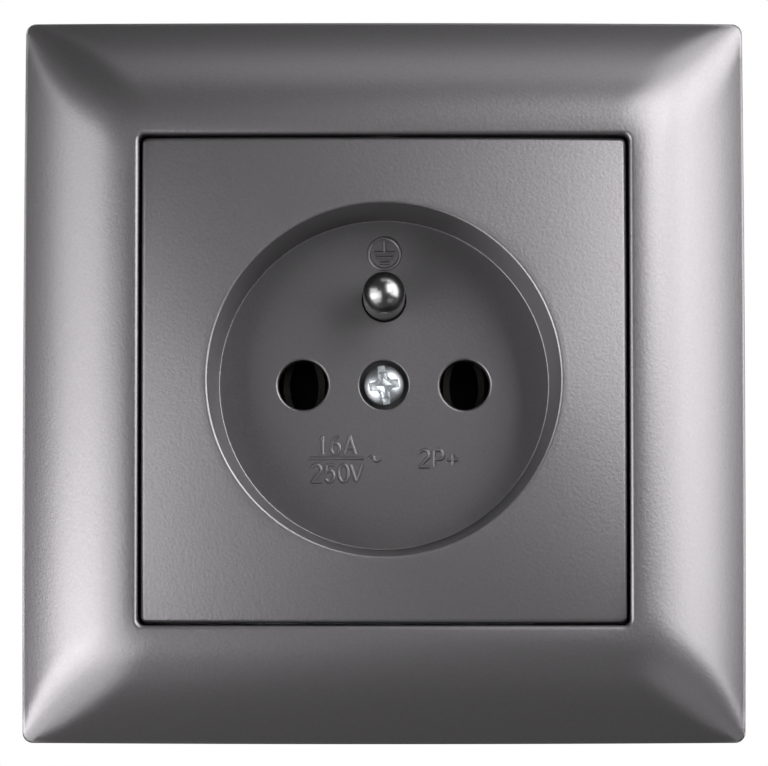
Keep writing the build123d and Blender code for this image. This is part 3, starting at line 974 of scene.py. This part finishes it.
@dataclass
class CentrePlate(Moulding):
    """Square centre plate with the round plug well, one moulding. Sizes in millimetres."""

    half: float = 27.5
    corner: float = 0.7
    rounding: float = 0.4
    front: float = 10.0
    swell: float = 1.6
    seat_front: float = 3.0
    thickness: float = 2.2
    skirt_wall: float = 1.6
    relief_top: float = 5.2
    relief_share: float = 0.17
    mouth_radius: float = 19.92
    mouth_rounding: float = 0.33
    floor_radius: float = 19.4
    floor_rounding: float = 0.16
    floor_height: float = -5.0
    back_height: float = -7.5
    well_outer: float = 21.4
    pin_half_spacing: float = 9.5
    pin_hole_radius: float = 2.9
    pin_hole_rounding: float = 0.3
    earth_offset: float = 10.0
    earth_hole_radius: float = 2.6
    screw_well_radius: float = 2.9
    screw_well_depth: float = 1.6
    screw_well_rounding: float = 0.14
    screw_hole_radius: float = 1.7
    small_rounding: float = 0.08
    flat_margin: float = 0.12
    web_half_thickness: float = 0.6
    web_depth: float = 4.0
    sink: float = 0.1
    rounding_rows: int = 6
    mouth_extra_rows: int = 2
    front_rows: int = 14
    hole_points: int = 72

    def __post_init__(self) -> None:
        """Work out the outline and what follows from the sizes."""
        self.outline = square_ring(self.half, self.corner)
        self.angles = np.arctan2(*self.outline.T[::-1])
        self.brim = self.mouth_radius + self.mouth_rounding + self.flat_margin
        self.plate_back = self.front - self.thickness

    def cushion(self, plan: np.ndarray) -> np.ndarray:
        """Height of the faintly cushioned front, which falls away from the brim of the well.

        Args:
            plan: Rows of across and up.

        Returns:
            A height for each point.
        """
        across, up = np.abs(plan).T
        reach = math.sqrt(2) * self.half - self.brim
        power = 2 + 2 * np.clip((np.hypot(across, up) - self.brim) / reach, 0, 1)
        squareness = (across**power + up**power) ** (2 / power)
        return self.front - self.swell * np.maximum(squareness - self.brim**2, 0) / self.half**2

    def quarter(self, radius: float, extra_rows: int = 0) -> list[Pair]:
        """Steps of a quarter round from its side to its top: how far in, and how far to go."""
        turns = np.linspace(0, math.pi / 2, self.rounding_rows + extra_rows)
        return [(radius * (1 - math.cos(t)), radius * (1 - math.sin(t))) for t in turns]

    def well_ring(self, radius: float, height: float) -> np.ndarray:
        """Round ring with a point for each point of the plate's outline."""
        return at_height(circle_ring(radius, self.angles), height)

    def front_and_well(self) -> list[np.ndarray]:
        """Lay the rings over the front and down the well.

        Returns:
            The rings, from the plate's edge to the floor of the well.
        """
        rings = [at_height(self.outline, self.cushion(self.outline) - self.rounding - self.flat_margin)]
        for step, rest in self.quarter(self.rounding):
            plan = square_ring(self.half - step, self.corner - step)
            rings.append(at_height(plan, self.cushion(plan) - rest))
        edge = square_ring(self.half - self.rounding - self.flat_margin, self.corner - self.rounding)
        brim = circle_ring(self.brim, self.angles)
        for share in np.linspace(0, 1, self.front_rows):
            plan = edge * (1 - share) + brim * share
            rings.append(at_height(plan, self.cushion(plan)))
        for step, rest in self.quarter(self.mouth_rounding, self.mouth_extra_rows):
            rings.append(self.well_ring(self.mouth_radius + rest, self.front - step))
        for step, rest in self.quarter(self.floor_rounding):
            rings.append(self.well_ring(self.floor_radius - step, self.floor_height + rest))
        floor = self.floor_radius - self.floor_rounding - self.flat_margin
        return rings + [self.well_ring(floor, self.floor_height)]

    def skirt_and_back(self) -> list[np.ndarray]:
        """Lay the rings up the outside of the well, over the plate's back and round the skirt.

        Returns:
            The rings, from the back of the well to the foot of the skirt.
        """
        inner_half = self.half - self.skirt_wall
        inner = square_ring(inner_half, self.small_rounding)
        across, up = np.abs(self.outline).T
        relieved = (up < self.relief_share * self.half) & (across > inner_half)
        foot = np.where(relieved, self.relief_top, self.seat_front)
        return [
            self.well_ring(self.well_outer, self.back_height),
            self.well_ring(self.well_outer, self.plate_back),
            at_height(inner, self.plate_back),
            at_height(inner, foot),
            at_height(self.outline, foot),
        ]

    def hole(
        self, shell: Shell, centre: Pair, radius: float, rounding: float, steps: Sequence[Pair] = ()
    ) -> tuple[Ring, Ring]:
        """Line a hole through the floor, with a rounded front edge.

        Args:
            shell: Mesh that takes the lining.
            centre: The hole's middle, across and up.
            radius: The hole's radius.
            rounding: Radius of its front edge.
            steps: Radius and height of each ring between the rounded edge and the back.

        Returns:
            Vertices of the front ring and of the back ring.
        """
        profile = [(radius + rounding + self.small_rounding, self.floor_height)]
        profile += [(radius + rest, self.floor_height - step) for step, rest in self.quarter(rounding)]
        profile += steps
        last = steps[-1][0] if steps else radius
        profile.append((last, self.back_height))
        angles = round_angles(self.hole_points)
        return shell.bands([at_height(circle_ring(out, angles, centre), height) for out, height in profile])

    def web(self, details: Shell) -> None:
        """Add the stiffening web on one diagonal, from the well to the corner of the skirt.

        Args:
            details: Mesh that takes the web.
        """
        near = self.well_outer - self.sink
        far = math.sqrt(2) * (self.half - self.skirt_wall) + self.sink
        thick = self.web_half_thickness
        out, side = np.array([(near, -thick), (far, -thick), (far, thick), (near, thick)]).T
        plan = np.column_stack([out - side, out + side]) / math.sqrt(2)
        details.prism(plan, self.plate_back - self.web_depth, self.plate_back + self.sink)

    def build(self) -> Object:
        """Build the moulding with its holes and webs.

        Returns:
            The finished piece.
        """
        shell = Shell()
        back, floor = shell.bands(self.skirt_and_back() + self.front_and_well())
        seat = self.floor_height - self.screw_well_depth
        seat_steps = [(self.screw_well_radius, seat), (self.screw_hole_radius, seat)]
        holes = [
            self.hole(shell, (-self.pin_half_spacing, 0.0), self.pin_hole_radius, self.pin_hole_rounding),
            self.hole(shell, (self.pin_half_spacing, 0.0), self.pin_hole_radius, self.pin_hole_rounding),
            self.hole(shell, (0.0, self.earth_offset), self.earth_hole_radius, self.small_rounding),
            self.hole(shell, (0.0, 0.0), self.screw_well_radius, self.screw_well_rounding, seat_steps),
        ]
        shell.fill(floor, *[front for front, _ in holes])
        shell.fill(back, *[rear for _, rear in holes])
        details = Shell()
        self.web(details)
        return self.completed("centre_plate_moulding", shell, details)


@dataclass
class EarthPin:
    """Turned and plated pin with a domed tip, a flange and a rivet end. Sizes in millimetres."""

    offset: float = 10.0
    tip: float = 9.0
    radius: float = 2.4
    shank_radius: float = 2.1
    well_floor: float = -5.0
    flange_radius: float = 3.5
    flange_front: float = -9.5
    strap_front: float = -11.0
    strap_back: float = -11.8
    rivet_radius: float = 1.3
    rivet_head_radius: float = 1.9
    rivet_back: float = -12.7
    pole: float = 0.01
    edge: float = 0.12
    dome_rows: int = 28
    points: int = 96

    def dome(self) -> list[Pair]:
        """Rings of the tip, from its pole down to the pin's side."""
        turns = np.linspace(self.pole, math.pi / 2, self.dome_rows)
        return [(self.radius * math.sin(t), self.tip - self.radius * (1 - math.cos(t))) for t in turns]

    def build(self) -> Object:
        """Turn the pin in one piece.

        Returns:
            The finished piece.
        """
        profile = self.dome() + [
            (self.radius, self.well_floor + self.edge),
            (self.radius - self.edge, self.well_floor),
            (self.shank_radius, self.well_floor),
            (self.shank_radius, self.flange_front),
            (self.flange_radius - self.edge, self.flange_front),
            (self.flange_radius, self.flange_front - self.edge),
            (self.flange_radius, self.strap_front + self.edge),
            (self.flange_radius - self.edge, self.strap_front),
            (self.rivet_radius, self.strap_front),
            (self.rivet_radius, self.strap_back),
            (self.rivet_head_radius, self.strap_back),
            (self.rivet_head_radius, self.rivet_back + 2 * self.edge),
            (self.rivet_head_radius - 2 * self.edge, self.rivet_back),
        ]
        shell = Shell()
        shell.lathe(profile, (0.0, self.offset), self.points)
        return shell.piece("earth_pin_turned")


@dataclass(frozen=True)
class Screw:
    """Domed screw along the socket's axis, with a cross and slot recess. Sizes in millimetres.

    Attributes:
        place: Its axis, across and up.
        seat: Height of the underside of its head.
        head_radius: Radius of its head.
        head_height: Height of its head.
        shank_radius: Radius over the thread.
        length: Length below the head.
        turn: Degrees that the slot stands off the vertical.
    """

    place: Pair
    seat: float
    head_radius: float
    head_height: float
    shank_radius: float
    length: float
    turn: float = 0.0
    pitch: float = 0.5
    thread_depth: float = 0.25
    slot_half_width: float = 0.42
    slot_depth: float = 0.75
    cross_half_width: float = 0.5
    cross_half_length: float = 1.75
    cross_flare: float = 0.35
    cross_depth: float = 1.0
    cross_draft: float = 0.2
    pit_half: float = 1.0
    pit_depth: float = 0.45
    tip_chamfer: float = 0.4
    edge: float = 0.04
    pole: float = 0.02
    above: float = 0.4
    dome_rows: int = 14
    points: int = 80
    turn_points: int = 20

    def turned(self, plan: Sequence[Pair]) -> np.ndarray:
        """Turn a plan by the screw's angle and move it to the screw's axis.

        Args:
            plan: Points round the origin, across and up.

        Returns:
            Rows of across and up.
        """
        angle = math.radians(self.turn)
        across, up = np.array(plan, dtype=float).T
        x = self.place[0] + across * math.cos(angle) - up * math.sin(angle)
        return np.column_stack([x, self.place[1] + across * math.sin(angle) + up * math.cos(angle)])

    def cross_plan(self, scale: float) -> np.ndarray:
        """Plan of the cross with flared inner corners.

        Args:
            scale: Scale of the arms' width and length.

        Returns:
            Rows of across and up.
        """
        wide = self.cross_half_width * scale
        long = self.cross_half_length * scale
        bend = wide + self.cross_flare * scale
        arm = [(long, -wide), (long, wide), (bend, wide), (wide, bend)]
        plan = []
        for _ in range(QUARTERS):
            plan += arm
            arm = [(-up, across) for across, up in arm]
        return self.turned(plan)

    def cutters(self) -> list[Object]:
        """Build the shapes of the slot, the cross and the pit between its arms.

        Returns:
            The three shapes.
        """
        top = self.seat + self.head_height
        roof = top + self.above
        reach = self.head_radius + self.above
        wide = self.slot_half_width
        slot = Shell()
        plan = self.turned([(-wide, -reach), (wide, -reach), (wide, reach), (-wide, reach)])
        slot.prism(plan, top - self.slot_depth, roof)
        cross = Shell()
        floor = top - self.cross_depth
        spread = 1 + self.cross_draft * (roof - floor) / self.cross_depth
        narrow = self.cross_plan(1 - self.cross_draft)
        cross.block([at_height(narrow, floor), at_height(self.cross_plan(spread), roof)])
        pit = Shell()
        square = [(self.pit_half, 0.0), (0.0, self.pit_half), (-self.pit_half, 0.0), (0.0, -self.pit_half)]
        point = self.turned([(across * self.pole, up * self.pole) for across, up in square])
        pit_floor = floor - self.pit_depth
        pit.block([at_height(point, pit_floor), at_height(self.turned(square), floor + self.edge)])
        return [slot.piece("slot"), cross.piece("cross"), pit.piece("pit")]

    def profile(self) -> list[Pair]:
        """Work out the screw's outline, from the middle of the dome to the tip.

        Returns:
            Radius and height of each ring.
        """
        top = self.seat + self.head_height
        drop = self.head_height / 2
        bend = (self.head_radius**2 + drop**2) / (2 * drop)
        turns = np.linspace(self.pole, math.asin(self.head_radius / bend), self.dome_rows)
        core = self.shank_radius - self.thread_depth
        tip = self.seat - self.length
        return [(bend * math.sin(t), top - bend * (1 - math.cos(t))) for t in turns] + [
            (self.head_radius, self.seat + self.edge),
            (self.head_radius - self.edge, self.seat),
            (core, self.seat),
            (core, tip + self.tip_chamfer),
            (core - self.tip_chamfer, tip),
        ]

    def build(self, name: str, thread: NodeTree, finish: Material) -> Object:
        """Turn the screw, cut its recess and wind its thread.

        Args:
            name: Name of the piece.
            thread: Tree that winds a thread.
            finish: Material of the screw.

        Returns:
            The finished piece.
        """
        shell = Shell()
        shell.lathe(self.profile(), self.place, self.points)
        blank = carved(shell.piece(name), self.cutters())
        plain = 2 * self.pitch
        length = self.length - plain - self.tip_chamfer
        values = {
            "Turns": length / self.pitch,
            "Points": self.turn_points,
            "Radius": (self.shank_radius - self.thread_depth) * MM,
            "Length": length * MM,
            "Depth": self.thread_depth * MM,
            "Place": (self.place[0] * MM, (plain - self.seat) * MM, self.place[1] * MM),
            "Finish": finish,
        }
        return grown(softened(blank, self.edge), thread, values)


@dataclass
class Marks:
    """Earth sign and plain rating marks, raised on the floor of the well. Sizes in millimetres."""

    floor: float = -5.0
    width: float = 0.42
    height: float = 0.2
    rounding: float = 0.17
    sign_place: Pair = (0.05, 15.45)
    sign_radius: float = 1.84
    stem: Pair = (1.4, 0.12)
    bars: Sequence[Pair] = ((0.12, 1.23), (-0.46, 0.98), (-1.11, 0.56))
    arc_points: int = 40

    def arc(self, centre: Pair, radii: Pair, first: float, last: float) -> list[Pair]:
        """Points along part of an ellipse.

        Args:
            centre: Its middle.
            radii: Its half width and half height.
            first: Angle of the first point, in degrees.
            last: Angle of the last point, in degrees.

        Returns:
            The points in order.
        """
        angles = np.radians(np.linspace(first, last, self.arc_points))
        return list(zip(centre[0] + radii[0] * np.cos(angles), centre[1] + radii[1] * np.sin(angles)))

    def figures(self) -> dict[str, list[list[Pair]]]:
        """Draw each figure in a box one wide and one high.

        Returns:
            The strokes of each figure.
        """
        return {
            "0": [self.arc((0.5, 0.5), (0.42, 0.5), 0, 360)],
            "1": [[(0.42, 0.76), (0.72, 1.0)], [(0.72, 1.0), (0.72, 0.0)]],
            "2": [
                self.arc((0.5, 0.72), (0.4, 0.28), 165, -35) + [(0.1, 0.0)],
                [(0.06, 0.0), (0.94, 0.0)],
            ],
            "5": [
                [(0.86, 1.0), (0.2, 1.0)],
                [(0.2, 1.0), (0.12, 0.5)],
                self.arc((0.46, 0.33), (0.42, 0.33), 148, -150),
            ],
            "6": [
                self.arc((0.5, 0.31), (0.4, 0.31), 0, 360),
                self.arc((1.02, 0.3), (0.92, 0.72), 180, 105),
            ],
            "A": [[(0.0, 0.0), (0.5, 1.0)], [(0.5, 1.0), (1.0, 0.0)], [(0.18, 0.34), (0.82, 0.34)]],
            "P": [
                [(0.12, 0.0), (0.12, 1.0)],
                [(0.12, 1.0), (0.5, 1.0)] + self.arc((0.55, 0.72), (0.35, 0.28), 90, -90) + [(0.12, 0.44)],
            ],
            "V": [[(0.0, 1.0), (0.5, 0.0)], [(0.5, 0.0), (1.0, 1.0)]],
            "+": [[(0.0, 0.5), (1.0, 0.5)], [(0.5, 0.0), (0.5, 1.0)]],
            "-": [[(0.0, 0.5), (1.0, 0.5)]],
            "~": [self.arc((0.25, 0.3), (0.25, 0.5), 180, 0) + self.arc((0.75, 0.3), (0.25, 0.5), 180, 360)],
        }

    def sign(self) -> list[list[Pair]]:
        """Draw the earth sign: a ring, a stem and three bars.

        Returns:
            Its strokes.
        """
        across, up = self.sign_place
        ring = self.arc(self.sign_place, (self.sign_radius, self.sign_radius), 0, 360)
        strokes = [ring, [(across, up + end) for end in self.stem]]
        for rise, half in self.bars:
            strokes.append([(across - half, up + rise), (across + half, up + rise)])
        return strokes

    def ratings(self) -> list[list[Pair]]:
        """Draw the rating marks, each figure in its box: left, bottom, width and height.

        Returns:
            Their strokes.
        """
        boxes = [
            ("1", -7.85, -8.1, 0.95, 2.1),
            ("6", -6.3, -8.1, 1.25, 2.1),
            ("A", -4.65, -8.1, 1.35, 2.1),
            ("-", -8.75, -9.1, 6.4, 1.0),
            ("2", -8.6, -11.35, 1.35, 2.0),
            ("5", -6.95, -11.35, 1.25, 2.0),
            ("0", -5.4, -11.35, 1.35, 2.0),
            ("V", -3.9, -11.35, 1.35, 2.0),
            ("~", -1.75, -8.8, 1.2, 0.5),
            ("2", 4.0, -9.6, 1.45, 1.95),
            ("P", 5.7, -9.6, 1.4, 1.95),
            ("+", 7.45, -9.4, 1.2, 1.25),
        ]
        figures = self.figures()
        strokes = []
        for figure, left, bottom, wide, high in boxes:
            for stroke in figures[figure]:
                strokes.append([(left + wide * across, bottom + high * up) for across, up in stroke])
        return strokes

    def build(self, name: str, strokes: list[list[Pair]], lines: NodeTree, finish: Material) -> Object:
        """Draw the strokes on the floor of the well and raise them.

        Args:
            name: Name of the piece.
            strokes: Points of each stroke, across and up; one that ends where it starts is closed.
            lines: Tree that gives lines a section.
            finish: Material of the marks.

        Returns:
            The finished piece.
        """
        drawing = bpy.data.curves.new(name, "CURVE")
        drawing.dimensions = "3D"
        for stroke in strokes:
            closed = math.dist(stroke[0], stroke[-1]) < MERGE_DISTANCE
            points = stroke[:-1] if closed else stroke
            spline = drawing.splines.new("POLY")
            spline.points.add(len(points) - 1)
            for point, (across, up) in zip(spline.points, points):
                point.co = (across * MM, -self.floor * MM, up * MM, 1.0)
            spline.use_cyclic_u = closed
        drawn = linked(name, drawing)
        values = {
            "Width": self.width * MM,
            "Height": 2 * self.height * MM,
            "Rounding": self.rounding * MM,
            "Finish": finish,
        }
        return grown(drawn, lines, values)


@dataclass(frozen=True)
class SoftBox:
    """A rectangular soft lamp that faces the socket.

    Attributes:
        name: The lamp's name.
        azimuth: Degrees to the right of the socket's axis, seen from the front.
        elevation: Degrees above the horizon.
        size: Width and height in metres.
        radiance: Brightness of its face, where 1 is white.
        distance: Metres from the socket.
    """

    name: str
    azimuth: float
    elevation: float
    size: Pair
    radiance: float
    distance: float = 0.26

    def place(self) -> None:
        """Put the lamp in the scene."""
        data = bpy.data.lights.new(self.name, "AREA")
        data.shape = "RECTANGLE"
        data.size, data.size_y = self.size
        data.energy = math.pi * self.size[0] * self.size[1] * self.radiance
        lamp = linked(self.name, data)
        turn = math.radians(self.azimuth)
        rise = math.radians(self.elevation)
        out = Vector((math.sin(turn) * math.cos(rise), -math.cos(turn) * math.cos(rise), math.sin(rise)))
        lamp.location = out * self.distance
        lamp.rotation_euler = (-out).to_track_quat("-Z", "Y").to_euler()
        lamp.visible_camera = False


@dataclass
class Studio:
    """Camera, white surround and pale floor."""

    camera_distance_mm: float = 385.0
    camera_drop_deg: float = 2.7
    lens_mm: float = 155.8
    sensor_mm: float = 36.0
    clip_start: float = 0.01
    clip_end: float = 20.0
    room_light: float = 0.08
    white: str = "#ffffff"
    floor_paint: str = "#f1f1ef"
    floor_drop: float = 0.9
    floor_radius: float = 4.5
    floor_glow: float = 0.85
    floor_points: int = 64
    backdrop_start: float = 0.35
    backdrop_full: float = 0.75

    def camera(self) -> None:
        """Place the camera a little below the socket's axis, aimed at the middle of the wall plane."""
        data = bpy.data.cameras.new("camera")
        data.lens = self.lens_mm
        data.sensor_width = self.sensor_mm
        data.clip_start = self.clip_start
        data.clip_end = self.clip_end
        camera = linked("camera", data)
        drop = math.radians(self.camera_drop_deg)
        back = Vector((0.0, -math.cos(drop), -math.sin(drop)))
        camera.location = back * self.camera_distance_mm * MM
        camera.rotation_euler = (-back).to_track_quat("-Z", "Y").to_euler()
        bpy.context.scene.camera = camera

    def surround(self) -> None:
        """White round the socket for the camera and behind it for reflections, and a dim room in front."""
        world = bpy.data.worlds.new("studio")
        bpy.context.scene.world = world
        world.use_nodes = True
        tree = world.node_tree
        tree.nodes.clear()
        rays = add_node(tree, "ShaderNodeLightPath").outputs
        way = add_node(tree, "ShaderNodeTexCoord").outputs["Generated"]
        depth = add_node(tree, "ShaderNodeSeparateXYZ", {0: way}).outputs["Y"]
        limits = {"Value": depth, "From Min": self.backdrop_start, "From Max": self.backdrop_full}
        behind = add_node(tree, "ShaderNodeMapRange", limits, interpolation_type="SMOOTHSTEP")
        mirror = {0: rays["Is Glossy Ray"], 1: rays["Is Transmission Ray"]}
        mirrored = add_node(tree, "ShaderNodeMath", mirror, operation="MAXIMUM")
        shown = add_node(tree, "ShaderNodeMath", {0: behind, 1: mirrored}, operation="MULTIPLY")
        seen = {0: rays["Is Camera Ray"], 1: shown}
        white = add_node(tree, "ShaderNodeMath", seen, operation="MAXIMUM")
        levels = {"Value": white, "To Min": self.room_light, "To Max": 1.0}
        strength = add_node(tree, "ShaderNodeMapRange", levels)
        glow = {"Color": linear(self.white), "Strength": strength}
        sky = add_node(tree, "ShaderNodeBackground", glow)
        add_node(tree, "ShaderNodeOutputWorld", {"Surface": sky})

    def floor(self) -> None:
        """Lay a pale round floor below the socket, white to the camera but for the shadows on it."""
        material, tree = new_material("pale_studio_floor")
        rays = add_node(tree, "ShaderNodeLightPath").outputs
        paint = add_node(tree, "ShaderNodeBsdfDiffuse", {"Color": linear(self.floor_paint)})
        bright = {"Color": linear(self.white), "Strength": 1.0}
        glow = add_node(tree, "ShaderNodeEmission", bright)
        seen = {0: rays["Is Camera Ray"], 1: self.floor_glow}
        share = add_node(tree, "ShaderNodeMath", seen, operation="MULTIPLY")
        mixed = add_node(tree, "ShaderNodeMixShader", {0: share, 1: paint, 2: glow})
        add_node(tree, "ShaderNodeOutputMaterial", {"Surface": mixed})
        mesh = bpy.data.meshes.new("studio_floor")
        corners = circle_ring(self.floor_radius, round_angles(self.floor_points))
        mesh.from_pydata([(x, y, -self.floor_drop) for x, y in corners], [], [tuple(range(len(corners)))])
        mesh.materials.append(material)
        floor = linked("studio_floor", mesh)


SOFT_BOXES = (
    SoftBox("right_near", 28, 21, (0.1, 0.2), 5.7),
    SoftBox("right_middle", 48, 16, (0.1, 0.28), 3.8),
    SoftBox("right_far", 71, 14, (0.14, 0.3), 4.6),
    SoftBox("right_high", 58, 56, (0.14, 0.1), 2.4),
    SoftBox("right_low", 45, -42, (0.14, 0.1), 0.7),
    SoftBox("left_near", -28, -13, (0.1, 0.17), 3.6),
    SoftBox("left_far", -61, -16, (0.2, 0.12), 6.3),
    SoftBox("left_upper", -59, 9, (0.2, 0.1), 3.0),
    SoftBox("left_low", -52, -42, (0.2, 0.1), 2.2),
    SoftBox("top_card", 10, 71, (0.14, 0.1), 1.0),
    SoftBox("back_right", 148, 28, (0.5, 0.5), 1.1, 0.7),
    SoftBox("back_left", -140, 12, (0.5, 0.5), 1.0, 0.7),
)

# Rounding of the edges that moulding, pressing and drawing leave, in millimetres
EDGE_WIDTHS = {Slot.BLACK: 0.15, Slot.ZINC: 0.12, Slot.BRONZE: 0.08}
COVER_SCREW = Screw(
    (0.0, 0.0), seat=-6.6, head_radius=2.35, head_height=1.6, shank_radius=1.5, length=16.0, turn=8.5
)
CLAW_SCREWS = {
    side: Screw((across, 0.0), seat=1.0, head_radius=2.5, head_height=2.2, shank_radius=1.5, length=26.5)
    for side, across in (("left", -25.0), ("right", 25.0))
}
TERMINAL_SCREWS = [
    Screw(place, seat=-11.0, head_radius=3.0, head_height=2.2, shank_radius=1.6, length=8.5)
    for place in ((-9.5, -14.2), (9.5, -14.2), (0.0, 17.0))
]


def main() -> None:
    """Build the pieces, dress them and light them."""
    logging.basicConfig(level=logging.INFO)
    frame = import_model()
    bpy.context.scene.view_settings.view_transform = "Standard"
    dresser = Dresser({finish.slot: finish.material() for finish in FINISHES})
    record = frame["record"]
    bodies = record["behaviour"]["bodies"]
    body_of = {node: body for body, nodes in bodies.items() for node in nodes}
    slot_of = {part["node"]: Slot(part["material_slot"]) for part in record["subparts"]}
    lacquer = dresser.materials[Slot.LACQUER]
    zinc = dresser.materials[Slot.ZINC]
    copies = turned_copies_tree()
    thread = thread_tree()
    lines = raised_line_tree()
    own = {
        "cover_frame": CoverFrame(copies, lacquer).build(),
        "centre_plate": CentrePlate(copies, lacquer).build(),
        "earth_pin": EarthPin().build(),
        "cover_screw": COVER_SCREW.build("cover_screw_cut", thread, zinc),
    }
    for side, screw in CLAW_SCREWS.items():
        own[f"claw_screw_{side}"] = screw.build(f"claw_screw_{side}_cut", thread, zinc)
    terminals = []
    for index, screw in enumerate(TERMINAL_SCREWS):
        terminals.append(screw.build(f"terminal_{index}", thread, zinc))
    own["terminal_screws"] = joined("terminal_screws_cut", terminals)
    for node in sorted(frame["nodes"]):
        slot = slot_of[node]
        piece = own.get(node) or softened(finished_copy(node, f"{node}_finished"), EDGE_WIDTHS[slot])
        dresser.dress(piece, slot, body_of[node], [node])
    marks = Marks()
    for name, strokes in (("earth_sign", marks.sign()), ("rating_marks", marks.ratings())):
        dresser.dress(marks.build(name, strokes, lines, lacquer), Slot.LACQUER, "socket")
    studio = Studio()
    studio.camera()
    studio.surround()
    studio.floor()
    for box in SOFT_BOXES:
        box.place()


if __name__ == "__main__":
    main()
